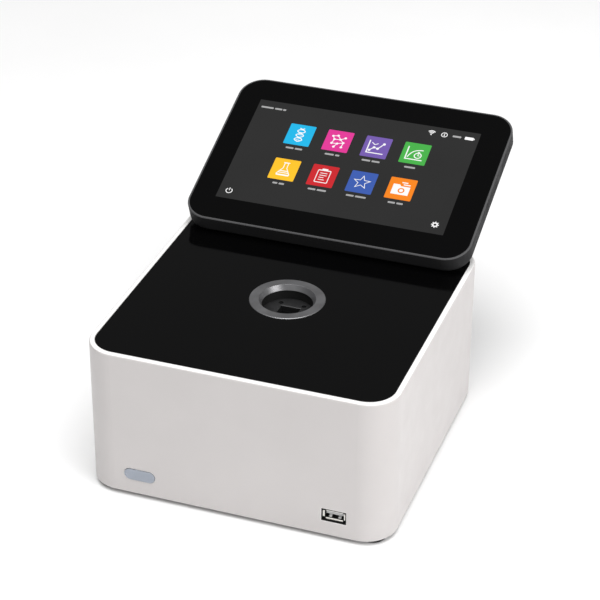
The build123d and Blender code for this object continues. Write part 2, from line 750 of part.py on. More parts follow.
with BuildPart() as front_usb_board:
    with BuildSketch(level(FRONT_BOARD_TOP - BOARD_THICK)):
        with Locations((PORT_X, FRONT_BOARD_Y)):
            Rectangle(FRONT_BOARD_WIDTH, FRONT_BOARD_DEPTH)
        with Locations(*FRONT_BOARD_HOLES):
            Circle(M3_RADIUS + THREAD_GAP, mode=Mode.SUBTRACT)
    extrude(amount=BOARD_THICK)
keep(front_usb_board, "front_usb_board")

# ---------------------------------------------------------------- rear panel and boards

BOARD_Z = FLOOR_Z + BOARD_LIFT
BOARD_TOP_Z = BOARD_Z + BOARD_THICK
RECT_PORTS = {
    "usb_b_port": ([USB_B_X], USB_B_WIDTH, USB_B_HEIGHT),
    "usb_a_ports": (USB_A_X, USB_WIDTH, USB_HEIGHT),
    "hdmi_port": ([HDMI_X], HDMI_WIDTH, HDMI_HEIGHT),
    "network_port": ([NETWORK_X], NETWORK_WIDTH, NETWORK_HEIGHT),
}

with BuildPart() as rear_panel:
    with BuildSketch(upright(REAR_FACE_Y)):
        with Locations((0, REAR_OPEN_Z)):
            RectangleRounded(
                REAR_OPEN_WIDTH + 2 * REAR_LAP, REAR_OPEN_HEIGHT + 2 * REAR_LAP, REAR_OPEN_CORNER
            )
        for port_xs, port_width, port_height in RECT_PORTS.values():
            with Locations(*[(x, BOARD_TOP_Z + port_height / 2) for x in port_xs]):
                Rectangle(port_width + 2 * PART_GAP, port_height + 2 * PART_GAP, mode=Mode.SUBTRACT)
        with Locations((DC_X, BOARD_TOP_Z + DC_SIZE / 2)):
            Rectangle(DC_SIZE + 2 * PART_GAP, DC_SIZE + 2 * PART_GAP, mode=Mode.SUBTRACT)
        with Locations((SWITCH_X, SWITCH_Z)):
            Rectangle(SWITCH_WIDTH + 2 * PART_GAP, SWITCH_HEIGHT + 2 * PART_GAP, mode=Mode.SUBTRACT)
        with Locations((FAN_X, FAN_Z)):
            Circle(GRILLE_HOLE, mode=Mode.SUBTRACT)
            for ring_radius, ring_count in GRILLE_RINGS:
                with PolarLocations(ring_radius, ring_count):
                    Circle(GRILLE_HOLE, mode=Mode.SUBTRACT)
            with GridLocations(FAN_HOLE_PITCH, FAN_HOLE_PITCH, 2, 2):
                Circle(M3_RADIUS + THREAD_GAP, mode=Mode.SUBTRACT)
        with Locations(*REAR_SCREWS):
            Circle(M2_RADIUS + SCREW_GAP, mode=Mode.SUBTRACT)
    extrude(amount=REAR_PANEL_THICK)
keep(rear_panel, "rear_panel")

with BuildPart() as mainboard:
    with BuildSketch(level(BOARD_Z)):
        with Locations((0, MAINBOARD_Y)):
            RectangleRounded(MAINBOARD_WIDTH, MAINBOARD_DEPTH, MAINBOARD_CORNER)
        with Locations(*BOARD_HOLES):
            Circle(M3_RADIUS + SCREW_GAP, mode=Mode.SUBTRACT)
    extrude(amount=BOARD_THICK)
keep(mainboard, "mainboard")

with BuildPart() as board_standoffs:
    with BuildSketch(level(FLOOR_Z)):
        with Locations(*BOARD_HOLES):
            Circle(STANDOFF_RADIUS)
            Circle(M3_RADIUS + THREAD_GAP, mode=Mode.SUBTRACT)
    extrude(amount=BOARD_LIFT)
    with BuildSketch(level(FLOOR_Z)):
        with Locations(*FRONT_BOARD_HOLES):
            Circle(STANDOFF_RADIUS)
            Circle(M3_RADIUS + THREAD_GAP, mode=Mode.SUBTRACT)
    extrude(amount=FRONT_BOARD_TOP - BOARD_THICK - FLOOR_Z)
keep(board_standoffs, "board_standoffs")

for port_name, (port_xs, port_width, port_height) in RECT_PORTS.items():
    port_places = [(x, BOARD_TOP_Z + port_height / 2) for x in port_xs]
    with BuildPart() as port:
        with BuildSketch(upright(REAR_FACE_Y + PORT_PROUD)):
            with Locations(*port_places):
                Rectangle(port_width, port_height)
        extrude(amount=PORT_BODY)
        with BuildSketch(upright(REAR_FACE_Y + PORT_PROUD)):
            with Locations(*port_places):
                Rectangle(port_width - 2 * PORT_WALL, port_height - 2 * PORT_WALL)
        extrude(amount=PORT_RECESS, mode=Mode.SUBTRACT)
        with BuildSketch(upright(REAR_FACE_Y + PORT_PROUD - PORT_RECESS)):
            with Locations(*port_places):
                Rectangle(port_width / 2, PORT_TONGUE)
        extrude(amount=-(PORT_RECESS - PORT_TONGUE))
    keep(port, port_name)

with BuildPart() as dc_inlet:
    with BuildSketch(upright(REAR_FACE_Y + PORT_PROUD)):
        with Locations((DC_X, BOARD_TOP_Z + DC_SIZE / 2)):
            Rectangle(DC_SIZE, DC_SIZE)
    extrude(amount=PORT_BODY)
    with BuildSketch(upright(REAR_FACE_Y + PORT_PROUD)):
        with Locations((DC_X, BOARD_TOP_Z + DC_SIZE / 2)):
            Circle(DC_BORE)
            Circle(DC_PIN, mode=Mode.SUBTRACT)
    extrude(amount=PORT_RECESS, mode=Mode.SUBTRACT)
keep(dc_inlet, "dc_inlet")

with BuildPart() as heat_sink:
    with BuildSketch(level(BOARD_TOP_Z)):
        with Locations((0, SINK_Y)):
            Rectangle(SINK_WIDTH, SINK_WIDTH)
    extrude(amount=SINK_BASE)
    with BuildSketch(level(BOARD_TOP_Z + SINK_BASE)):
        with Locations((0, SINK_Y)):
            with GridLocations((SINK_WIDTH - SINK_FIN) / (SINK_FINS - 1), 0, SINK_FINS, 1):
                Rectangle(SINK_FIN, SINK_WIDTH)
    extrude(amount=SINK_HEIGHT - SINK_BASE)
keep(heat_sink, "heat_sink")

with BuildPart() as battery_pack:
    with BuildSketch(level(FLOOR_Z)):
        with Locations((BATTERY_X, BATTERY_Y)):
            RectangleRounded(BATTERY_WIDTH, BATTERY_DEPTH, BATTERY_CORNER)
    extrude(amount=BATTERY_HEIGHT)
keep(battery_pack, "battery_pack")

# ---------------------------------------------------------------- fan

with BuildPart() as fan_frame:
    with BuildSketch(upright(REAR_INNER_Y)):
        with Locations((FAN_X, FAN_Z)):
            RectangleRounded(FAN_SIZE, FAN_SIZE, FAN_CORNER)
            Circle(FAN_BORE, mode=Mode.SUBTRACT)
            with GridLocations(FAN_HOLE_PITCH, FAN_HOLE_PITCH, 2, 2):
                Circle(M3_RADIUS + SCREW_GAP, mode=Mode.SUBTRACT)
    extrude(amount=FAN_THICK)
    with BuildSketch(upright(REAR_INNER_Y - FAN_THICK + FAN_BACK)):
        with Locations((FAN_X, FAN_Z)):
            Rectangle(2 * FAN_BORE + FAN_BACK, FAN_STRUT)
            Rectangle(FAN_STRUT, 2 * FAN_BORE + FAN_BACK)
            Circle(FAN_HUB)
            Circle(FAN_SHAFT + SHAFT_GAP, mode=Mode.SUBTRACT)
    extrude(amount=FAN_BACK)
keep(fan_frame, "fan_frame")

FAN_ROTOR_BACK = REAR_INNER_Y - FAN_END_GAP
FAN_ROTOR_LENGTH = FAN_THICK - FAN_BACK - 2 * FAN_END_GAP
with BuildPart() as fan_rotor:
    with BuildSketch(upright(FAN_ROTOR_BACK)):
        with Locations((FAN_X, FAN_Z)):
            Circle(FAN_HUB)
    extrude(amount=FAN_ROTOR_LENGTH)
    with BuildSketch(upright(FAN_ROTOR_BACK - FAN_ROTOR_LENGTH)):
        with Locations((FAN_X, FAN_Z)):
            Circle(FAN_SHAFT)
    extrude(amount=FAN_END_GAP + FAN_BACK)
    with Locations(upright(FAN_ROTOR_BACK - FAN_ROTOR_LENGTH / 2)):
        with Locations((FAN_X, FAN_Z)):
            with PolarLocations((FAN_HUB + FAN_TIP) / 2 - BLADE_THICK / 2, FAN_BLADES):
                Box(
                    FAN_TIP - FAN_HUB + BLADE_THICK, BLADE_THICK, BLADE_CHORD,
                    rotation=(BLADE_PITCH, 0, 0),
                )
keep(fan_rotor, "fan_rotor")

FAN_SCREWS = [
    (FAN_X + sx * FAN_HOLE_PITCH / 2, FAN_Z + sz * FAN_HOLE_PITCH / 2) for sx in (-1, 1) for sz in (-1, 1)
]
# ---------------------------------------------------------------- power switch

SWITCH_FACE_Y = REAR_FACE_Y + SWITCH_FLANGE_THICK
PIVOT_Y = SWITCH_FACE_Y - ROCKER_PIVOT_IN
ROCKER_RISE = ROCKER_HALF * tan(radians(SWITCH_THROW / 2))
ROCKER_SWEEP = ((ROCKER_FACE + ROCKER_RISE) ** 2 + ROCKER_HALF**2) ** 0.5

with BuildPart() as switch_body:
    with BuildSketch(upright(SWITCH_FACE_Y)):
        with Locations((SWITCH_X, SWITCH_Z)):
            Rectangle(SWITCH_WIDTH + 2 * SWITCH_FLANGE, SWITCH_HEIGHT + 2 * SWITCH_FLANGE)
    extrude(amount=SWITCH_FLANGE_THICK)
    chamfer(switch_body.faces().sort_by(Axis.Y)[-1].edges(), SWITCH_FLANGE / 2)
    with BuildSketch(upright(REAR_FACE_Y)):
        with Locations((SWITCH_X, SWITCH_Z)):
            Rectangle(SWITCH_WIDTH, SWITCH_HEIGHT)
    extrude(amount=SWITCH_DEPTH)
    with BuildSketch(upright(SWITCH_FACE_Y)):
        with Locations((SWITCH_X, SWITCH_Z)):
            Rectangle(ROCKER_WIDTH + 2 * SWING_GAP, 2 * (ROCKER_SWEEP + SWING_GAP))
    extrude(amount=SWITCH_WELL, mode=Mode.SUBTRACT)
    with BuildSketch(side(SWITCH_X - ROCKER_WIDTH / 2 - ROCKER_PIN_REACH - SHAFT_GAP)):
        with Locations((PIVOT_Y, SWITCH_Z)):
            Circle(ROCKER_PIN + SHAFT_GAP)
    extrude(amount=ROCKER_WIDTH + 2 * (ROCKER_PIN_REACH + SHAFT_GAP), mode=Mode.SUBTRACT)
keep(switch_body, "switch_body")

ROCKER_REST = radians(SWITCH_THROW / 2)


def rocker_side(x):
    """Plane across the rocker's pivot, turned to the switch's off position."""
    back = (0, cos(ROCKER_REST), sin(ROCKER_REST))
    return Plane(origin=(x, CASE_Y + PIVOT_Y, SWITCH_Z), x_dir=back, z_dir=(1, 0, 0))


with BuildPart() as power_rocker:
    with BuildSketch(rocker_side(SWITCH_X - ROCKER_WIDTH / 2)):
        with BuildLine():
            Polyline(
                (ROCKER_FACE, 0),
                (ROCKER_FACE + ROCKER_RISE, ROCKER_HALF),
                (-ROCKER_SIDE, ROCKER_HALF - SWING_GAP),
                (-ROCKER_DEPTH, 0),
                (-ROCKER_SIDE, SWING_GAP - ROCKER_HALF),
                (ROCKER_FACE + ROCKER_RISE, -ROCKER_HALF),
                close=True,
            )
        make_face()
    extrude(amount=ROCKER_WIDTH)
    with BuildSketch(rocker_side(SWITCH_X - ROCKER_WIDTH / 2 - ROCKER_PIN_REACH)):
        Circle(ROCKER_PIN)
    extrude(amount=ROCKER_WIDTH + 2 * ROCKER_PIN_REACH)
keep(power_rocker, "power_rocker")

# ---------------------------------------------------------------- optics

SPECTRO_DEPTH = SPECTRO_BACK - SPECTRO_FRONT
SPECTRO_MID = (SPECTRO_X + SPECTRO_WIDTH / 2, (SPECTRO_FRONT + SPECTRO_BACK) / 2)
SPECTRO_SCREWS = [
    (
        SPECTRO_MID[0] + sx * (SPECTRO_WIDTH / 2 - SPECTRO_BOSS),
        SPECTRO_MID[1] + sy * (SPECTRO_DEPTH / 2 - SPECTRO_BOSS),
    )
    for sx in (-1, 1)
    for sy in (-1, 1)
]
LAMP_MID_X = LAMP_X + LAMP_LENGTH / 2
LAMP_RIGHT = LAMP_X + LAMP_LENGTH
LAMP_SCREWS = [
    (LAMP_MID_X, SLOT_Y + sy * (LAMP_WIDTH / 2 - HOLDER_SCREW_INSET)) for sy in (-1, 1)
]

with BuildPart() as optical_bench:
    with BuildSketch(level(BENCH_Z)):
        with Locations((0, (BENCH_FRONT + BENCH_BACK) / 2)):
            RectangleRounded(BENCH_WIDTH, BENCH_BACK - BENCH_FRONT, BENCH_CORNER)
        with Locations(*PILLARS, *HOLDER_SCREWS, *LAMP_SCREWS, *SPECTRO_SCREWS):
            Circle(M3_RADIUS + SCREW_GAP, mode=Mode.SUBTRACT)
    extrude(amount=BENCH_THICK)
keep(optical_bench, "optical_bench")

with BuildPart() as bench_pillars:
    with BuildSketch(level(FLOOR_Z)):
        with Locations(*PILLARS):
            Circle(PILLAR_RADIUS)
            Circle(M3_RADIUS + THREAD_GAP, mode=Mode.SUBTRACT)
    extrude(amount=BENCH_Z - FLOOR_Z)
keep(bench_pillars, "bench_pillars")

with BuildPart() as lamp_housing:
    with BuildSketch(level(BENCH_TOP_Z)):
        with Locations((LAMP_MID_X, SLOT_Y)):
            RectangleRounded(LAMP_LENGTH, LAMP_WIDTH, HOLDER_CORNER)
    extrude(amount=LAMP_HEIGHT)
    with BuildSketch(side(LAMP_X)):
        with Locations((SLOT_Y, BEAM_Z)):
            Circle(BULB_RADIUS + PART_GAP)
    extrude(amount=LAMP_LENGTH - LAMP_FACE, mode=Mode.SUBTRACT)
    with BuildSketch(side(LAMP_X)):
        with Locations((SLOT_Y, BEAM_Z)):
            Circle(BULB_WINDOW)
    extrude(amount=LAMP_LENGTH, mode=Mode.SUBTRACT)
    with BuildSketch(side(LAMP_RIGHT - SEAT_IN)):
        with Locations((SLOT_Y, BEAM_Z)):
            Circle(TUBE_RADIUS + THREAD_GAP)
    extrude(amount=SEAT_IN, mode=Mode.SUBTRACT)
    with BuildSketch(level(BENCH_TOP_Z)):
        with Locations(*LAMP_SCREWS):
            Circle(M3_RADIUS + THREAD_GAP)
    extrude(amount=TAP_DEPTH, mode=Mode.SUBTRACT)
keep(lamp_housing, "lamp_housing")

BULB_X = LAMP_RIGHT - LAMP_FACE - PART_GAP - BULB_LENGTH
with BuildPart() as flash_lamp:
    with BuildSketch(side(BULB_X)):
        with Locations((SLOT_Y, BEAM_Z)):
            Circle(BULB_RADIUS)
    extrude(amount=BULB_LENGTH)
    fillet(flash_lamp.faces().sort_by(Axis.X)[-1].edges(), LENS_THICK / 2)
    # socket plate on the back of the bulb
    with BuildSketch(side(BULB_X - SOCKET_THICK)):
        with Locations((SLOT_Y, BEAM_Z)):
            Circle(BULB_RADIUS + SOCKET_THICK)
    extrude(amount=SOCKET_THICK)
keep(flash_lamp, "flash_lamp")

TUBES = {
    "collimating_lens": (LAMP_RIGHT - SEAT_IN, SEAT_IN - HOLDER_HALF),
    "focusing_lens": (HOLDER_HALF - SEAT_IN, SPECTRO_X + SEAT_IN),
}
with BuildPart() as lens_tubes:
    for tube_start, tube_end in TUBES.values():
        with BuildSketch(side(tube_start)):
            with Locations((SLOT_Y, BEAM_Z)):
                Circle(TUBE_RADIUS)
                Circle(TUBE_RADIUS - TUBE_WALL, mode=Mode.SUBTRACT)
        extrude(amount=tube_end - tube_start)
keep(lens_tubes, "lens_tubes")

for lens_name, tube_ends in TUBES.items():
    lens_x = sum(tube_ends) / 2
    lens_radius = TUBE_RADIUS - TUBE_WALL - THREAD_GAP
    lens_sag = LENS_CURVE - (LENS_CURVE**2 - lens_radius**2) ** 0.5
    with BuildPart() as lens:
        with BuildSketch(Plane(origin=(lens_x, CASE_Y + SLOT_Y, BEAM_Z), x_dir=(1, 0, 0), z_dir=(0, -1, 0))):
            with BuildLine():
                Line((LENS_THICK, 0), (-lens_sag, 0))
                RadiusArc((-lens_sag, 0), (0, lens_radius), LENS_CURVE)
                Polyline((0, lens_radius), (LENS_THICK, lens_radius), (LENS_THICK, 0))
            make_face()
        revolve(axis=Axis((0, CASE_Y + SLOT_Y, BEAM_Z), (1, 0, 0)))
    keep(lens, lens_name)

SENSOR_BOARD_X = SPECTRO_X + SPECTRO_WALL
with BuildPart() as spectrometer_housing:
    with BuildSketch(level(BENCH_TOP_Z)):
        with Locations(SPECTRO_MID):
            RectangleRounded(SPECTRO_WIDTH, SPECTRO_DEPTH, SPECTRO_CORNER)
    extrude(amount=SPECTRO_HEIGHT)
    with BuildSketch(level(BENCH_TOP_Z + SPECTRO_WALL)):
        with Locations(SPECTRO_MID):
            Rectangle(SPECTRO_WIDTH - 2 * SPECTRO_WALL, SPECTRO_DEPTH - 2 * SPECTRO_WALL)
    extrude(amount=SPECTRO_HEIGHT, mode=Mode.SUBTRACT)
    with BuildSketch(level(BENCH_TOP_Z)):
        with Locations(*SPECTRO_SCREWS):
            Circle(SPECTRO_BOSS)
    extrude(amount=SPECTRO_HEIGHT)
    with BuildSketch(level(BENCH_TOP_Z)):
        with Locations(*SPECTRO_SCREWS):
            Circle(M3_RADIUS + THREAD_GAP)
    extrude(amount=SPECTRO_HEIGHT, mode=Mode.SUBTRACT)
    with BuildSketch(side(SPECTRO_X)):
        with Locations((SLOT_Y, BEAM_Z)):
            Circle(BEAM_RADIUS)
    extrude(amount=SPECTRO_WALL, mode=Mode.SUBTRACT)
    with BuildSketch(side(SPECTRO_X)):
        with Locations((SLOT_Y, BEAM_Z)):
            Circle(TUBE_RADIUS + THREAD_GAP)
    extrude(amount=SEAT_IN, mode=Mode.SUBTRACT)
keep(spectrometer_housing, "spectrometer_housing")

with BuildPart() as spectrometer_cover:
    with BuildSketch(level(BENCH_TOP_Z + SPECTRO_HEIGHT)):
        with Locations(SPECTRO_MID):
            RectangleRounded(SPECTRO_WIDTH, SPECTRO_DEPTH, SPECTRO_CORNER)
        with Locations(*SPECTRO_SCREWS):
            Circle(M3_RADIUS + SCREW_GAP, mode=Mode.SUBTRACT)
    extrude(amount=COVER_THICK)
keep(spectrometer_cover, "spectrometer_cover")

with BuildPart() as slit_plate:
    with BuildSketch(side(SPECTRO_X + SPECTRO_WALL)):
        with Locations((SLOT_Y, BEAM_Z)):
            Circle(SLIT_RADIUS)
            Rectangle(SLIT_WIDTH, SLIT_HEIGHT, mode=Mode.SUBTRACT)
    extrude(amount=SLIT_THICK)
keep(slit_plate, "slit_plate")

# The grating faces halfway between the slit and the sensor.
TO_SLIT = atan2(SLOT_Y - GRATING_Y, GRATING_X - SENSOR_BOARD_X)
TO_SENSOR = atan2(SENSOR_Y - GRATING_Y, GRATING_X - SENSOR_BOARD_X)
TURN = (TO_SLIT + TO_SENSOR) / 2
grating_face = Plane(
    origin=(GRATING_X, CASE_Y + GRATING_Y, BEAM_Z),
    x_dir=(-sin(TURN), -cos(TURN), 0),
    z_dir=(-cos(TURN), sin(TURN), 0),
)
with BuildPart() as diffraction_grating:
    with BuildSketch(grating_face):
        Circle(GRATING_RADIUS)
    extrude(amount=-GRATING_THICK)
    with Locations(grating_face.offset(GRATING_CURVE - GRATING_SAG)):
        Sphere(GRATING_CURVE, mode=Mode.SUBTRACT)
keep(diffraction_grating, "diffraction_grating")

MOUNT_LOW = BENCH_TOP_Z + SPECTRO_WALL - BEAM_Z
with BuildPart() as grating_mount:
    with BuildSketch(grating_face.offset(-GRATING_THICK)):
        with Locations((0, (GRATING_RADIUS + MOUNT_LOW) / 2)):
            Rectangle(MOUNT_WIDTH, GRATING_RADIUS - MOUNT_LOW)
    extrude(amount=-MOUNT_THICK)
    with BuildSketch(grating_face.offset(-GRATING_THICK)):
        with Locations((0, MOUNT_LOW + MOUNT_THICK / 2)):
            Rectangle(MOUNT_WIDTH, MOUNT_THICK)
    extrude(amount=MOUNT_FOOT)
keep(grating_mount, "grating_mount")

with BuildPart() as sensor_board:
    with BuildSketch(side(SENSOR_BOARD_X)):
        with Locations((SENSOR_Y, BEAM_Z)):
            Rectangle(SENSOR_BOARD_LENGTH, SENSOR_BOARD_HEIGHT)
    extrude(amount=BOARD_THICK)
keep(sensor_board, "sensor_board")

with BuildPart() as light_sensor:
    with BuildSketch(side(SENSOR_BOARD_X + BOARD_THICK)):
        with Locations((SENSOR_Y, BEAM_Z)):
            Rectangle(SENSOR_LENGTH, SENSOR_HEIGHT)
    extrude(amount=SENSOR_THICK)
keep(light_sensor, "light_sensor")

# ---------------------------------------------------------------- display hinge, case side

BRACKET_WIDTH = INNER_WIDTH - 2 * (LEDGE_WIDTH + PART_GAP)
BRACKET_DEPTH = INNER_DEPTH - 2 * (LEDGE_WIDTH + PART_GAP)
BRACKET_CORNER = INNER_CORNER - LEDGE_WIDTH - PART_GAP
BRACKET_BACK = BRACKET_DEPTH / 2
ARM_FOOT_SCREWS = [
    (arm_x, ARM_LEG_Y - ARM_FOOT + step)
    for arm_x in (-ARM_X, ARM_X)
    for step in (ARM_SCREW_IN, ARM_SCREW_IN + ARM_SCREW_PITCH)
]

with BuildPart() as hinge_bracket:
    with BuildSketch(level(LEDGE_Z)):
        RectangleRounded(BRACKET_WIDTH, BRACKET_DEPTH, BRACKET_CORNER)
        with Locations((0, (BRACKET_FRONT + BRACKET_BACK) / 2)):
            Rectangle(BRACKET_WIDTH, BRACKET_BACK - BRACKET_FRONT, mode=Mode.INTERSECT)
            RectangleRounded(
                BRACKET_WINDOW_WIDTH,
                BRACKET_WINDOW_DEPTH,
                BRACKET_WINDOW_CORNER,
                mode=Mode.SUBTRACT,
            )
        with Locations((-ARM_X, ARM_LEG_Y), (ARM_X, ARM_LEG_Y)):
            Rectangle(ARM_WIDTH + 2 * SCREW_GAP, ARM_THICK + 2 * ARM_BEND, mode=Mode.SUBTRACT)
        with Locations(*ARM_FOOT_SCREWS):
            Circle(M3_RADIUS + THREAD_GAP, mode=Mode.SUBTRACT)
    extrude(amount=LEDGE_THICK)
    with Locations(level(PANEL_Z)):
        with Locations(*BRACKET_SCREWS):
            CounterBoreHole(M3_RADIUS + SCREW_GAP, M3_HEAD_RADIUS + SCREW_GAP, M3_HEAD_HEIGHT)
keep(hinge_bracket, "hinge_bracket")

ELBOW_Z = AXIS_Z - (ARM_LEG_Y - AXIS_Y) * tan(radians(ARM_DROOP))
FOOT_LINE_Z = LEDGE_Z - ARM_THICK / 2

with BuildPart() as hinge_arms:
    for arm_x in (-ARM_X, ARM_X):
        with BuildSketch(side(arm_x - ARM_WIDTH / 2)):
            with BuildLine():
                FilletPolyline(
                    (AXIS_Y, AXIS_Z),
                    (ARM_LEG_Y, ELBOW_Z),
                    (ARM_LEG_Y, FOOT_LINE_Z),
                    (ARM_LEG_Y - ARM_FOOT, FOOT_LINE_Z),
                    radius=ARM_BEND,
                )
            trace(line_width=ARM_THICK)
            with Locations((AXIS_Y, AXIS_Z)):
                Circle(KNUCKLE_RADIUS)
                Circle(PIN_RADIUS + SHAFT_GAP, mode=Mode.SUBTRACT)
        extrude(amount=ARM_WIDTH)
    with BuildSketch(level(FOOT_LINE_Z - ARM_THICK)):
        with Locations(*ARM_FOOT_SCREWS):
            Circle(M3_RADIUS + SCREW_GAP)
    extrude(amount=2 * ARM_THICK - THREAD_GAP, mode=Mode.SUBTRACT)
keep(hinge_arms, "hinge_arms")

# ---------------------------------------------------------------- display hinge, display side

WASHER_IN = ARM_X + ARM_WIDTH / 2 + SHAFT_GAP
LEAF_IN = WASHER_IN + WASHER_THICK
LEAF_OUT = LEAF_IN + LEAF_WIDTH
PIN_HEAD_OUT = ARM_X - ARM_WIDTH / 2 - SHAFT_GAP
LEAF_FRONT = AXIS_DEPTH - CHASSIS_BACK

with BuildPart() as hinge_pins:
    for start in both_sides(PIN_HEAD_OUT - PIN_HEAD, LEAF_OUT):
        with BuildSketch(display_side(start)):
            Circle(PIN_RADIUS)
        extrude(amount=LEAF_OUT - PIN_HEAD_OUT + PIN_HEAD)
    for start in both_sides(PIN_HEAD_OUT - PIN_HEAD, PIN_HEAD_OUT):
        with BuildSketch(display_side(start)):
            Circle(PIN_HEAD_RADIUS)
        extrude(amount=PIN_HEAD)
keep(hinge_pins, "hinge_pins")

with BuildPart() as friction_washers:
    for start in both_sides(WASHER_IN, LEAF_IN):
        with BuildSketch(display_side(start)):
            Circle(KNUCKLE_RADIUS)
            Circle(PIN_RADIUS + THREAD_GAP, mode=Mode.SUBTRACT)
        extrude(amount=WASHER_THICK)
keep(friction_washers, "friction_washers")

LEAF_SCREWS_UP = (LEAF_LENGTH / 2 - LEAF_SCREW_IN, LEAF_LENGTH - LEAF_SCREW_IN)
with BuildPart() as hinge_leaves:
    for start in both_sides(LEAF_IN, LEAF_OUT):
        with BuildSketch(display_side(start)):
            Circle(KNUCKLE_RADIUS)
            with Locations((KNUCKLE_RADIUS / 2, LEAF_FRONT / 2)):
                Rectangle(KNUCKLE_RADIUS, LEAF_FRONT)
            with Locations((LEAF_LENGTH / 2, LEAF_FRONT - LEAF_THICK / 2)):
                Rectangle(LEAF_LENGTH, LEAF_THICK)
            Circle(PIN_RADIUS + THREAD_GAP, mode=Mode.SUBTRACT)
        extrude(amount=LEAF_WIDTH)
    with BuildSketch(behind_glass(CHASSIS_BACK)):
        for leaf_x in (-(LEAF_IN + LEAF_OUT) / 2, (LEAF_IN + LEAF_OUT) / 2):
            with Locations(*[(leaf_x, HINGE_INSET + up) for up in LEAF_SCREWS_UP]):
                Circle(M2_RADIUS + SCREW_GAP)
    extrude(amount=-2 * LEAF_THICK, mode=Mode.SUBTRACT)
keep(hinge_leaves, "hinge_leaves")

LEAF_SCREWS = [
    (sx * (LEAF_IN + LEAF_OUT) / 2, HINGE_INSET + up)
    for sx in (-1, 1)
    for up in LEAF_SCREWS_UP
]

# ---------------------------------------------------------------- display

GLASS_WIDTH = DISPLAY_WIDTH - 2 * (DISPLAY_LIP + PART_GAP)
GLASS_HEIGHT = DISPLAY_HEIGHT - 2 * (DISPLAY_LIP + PART_GAP)
CAVITY_WIDTH = DISPLAY_WIDTH - 2 * DISPLAY_WALL
CAVITY_HEIGHT = DISPLAY_HEIGHT - 2 * DISPLAY_WALL
LCD_WIDTH = SCREEN_WIDTH + 2 * LCD_MARGIN
LCD_HEIGHT = SCREEN_HEIGHT + 2 * LCD_MARGIN
LCD_PLACE = (SCREEN_X, SCREEN_LOW + SCREEN_HEIGHT / 2)
MID_UP = DISPLAY_HEIGHT / 2
DISPLAY_SCREWS = [
    (sx * (DISPLAY_WIDTH / 2 - DISPLAY_SCREW_INSET), up)
    for sx in (-1, 1)
    for up in (DISPLAY_SCREW_LOW, DISPLAY_HEIGHT - DISPLAY_SCREW_INSET)
]
out_of_display = Axis((0, 0, 0), OUT_OF_GLASS)

with BuildPart() as display_back_cover:
    with BuildSketch(behind_glass(DISPLAY_THICK)):
        with Locations((0, MID_UP)):
            RectangleRounded(DISPLAY_WIDTH, DISPLAY_HEIGHT, DISPLAY_CORNER)
    extrude(amount=DISPLAY_THICK)
    fillet(display_back_cover.faces().sort_by(out_of_display)[0].edges(), DISPLAY_EDGE)
    chamfer(display_back_cover.faces().sort_by(out_of_display)[-1].edges(), DISPLAY_CHAMFER)
    with BuildSketch(behind_glass(GLASS_THICK)):
        with Locations((0, MID_UP)):
            RectangleRounded(
                DISPLAY_WIDTH - 2 * DISPLAY_LIP,
                DISPLAY_HEIGHT - 2 * DISPLAY_LIP,
                DISPLAY_CORNER - DISPLAY_LIP,
            )
    extrude(amount=GLASS_THICK, mode=Mode.SUBTRACT)
    with BuildSketch(behind_glass(DISPLAY_THICK - DISPLAY_WALL)):
        with Locations((0, MID_UP)):
            RectangleRounded(CAVITY_WIDTH, CAVITY_HEIGHT, DISPLAY_CORNER - DISPLAY_WALL)
    extrude(amount=DISPLAY_THICK - DISPLAY_WALL - GLASS_THICK, mode=Mode.SUBTRACT)
    # screw bosses, with the heads sunk in the outside
    with BuildSketch(behind_glass(DISPLAY_THICK - DISPLAY_WALL)):
        with Locations(*DISPLAY_SCREWS):
            Circle(BOSS_RADIUS)
    extrude(amount=DISPLAY_THICK - DISPLAY_WALL - CHASSIS_BACK)
    with BuildSketch(behind_glass(DISPLAY_THICK)):
        with Locations(*DISPLAY_SCREWS):
            Circle(M2_HEAD_RADIUS + SCREW_GAP)
    extrude(amount=BOSS_SEAT, mode=Mode.SUBTRACT)
    with BuildSketch(behind_glass(DISPLAY_THICK)):
        with Locations(*DISPLAY_SCREWS):
            Circle(M2_RADIUS + SCREW_GAP)
    extrude(amount=DISPLAY_THICK - CHASSIS_BACK, mode=Mode.SUBTRACT)
    # round pocket for the knuckles, and slots that the arms swing in
    for start in both_sides(PIN_HEAD_OUT - PIN_HEAD - SWING_GAP, LEAF_OUT + SWING_GAP):
        with BuildSketch(display_side(start)):
            Circle(KNUCKLE_RADIUS + SWING_GAP)
        extrude(amount=LEAF_OUT - PIN_HEAD_OUT + PIN_HEAD + 2 * SWING_GAP, mode=Mode.SUBTRACT)
    with BuildSketch(behind_glass(DISPLAY_THICK)):
        with Locations((0, (ARM_SLOT_LOW + ARM_SLOT_HIGH) / 2)):
            with Locations((-ARM_X, 0), (ARM_X, 0)):
                Rectangle(ARM_WIDTH + 2 * ARM_SLOT_GAP, ARM_SLOT_HIGH - ARM_SLOT_LOW)
    extrude(amount=DISPLAY_WALL, mode=Mode.SUBTRACT)
keep(display_back_cover, "display_back_cover")

with BuildPart() as display_glass:
    with BuildSketch(behind_glass(GLASS_THICK)):
        with Locations((0, MID_UP)):
            RectangleRounded(GLASS_WIDTH, GLASS_HEIGHT, DISPLAY_CORNER - DISPLAY_LIP - PART_GAP)
    extrude(amount=GLASS_THICK)
    chamfer(display_glass.faces().sort_by(out_of_display)[-1].edges(), PART_GAP)
keep(display_glass, "display_glass")

with BuildPart() as lcd_panel:
    with BuildSketch(behind_glass(GLASS_THICK + LCD_THICK)):
        with Locations(LCD_PLACE):
            Rectangle(LCD_WIDTH, LCD_HEIGHT)
    extrude(amount=LCD_THICK)
keep(lcd_panel, "lcd_panel")

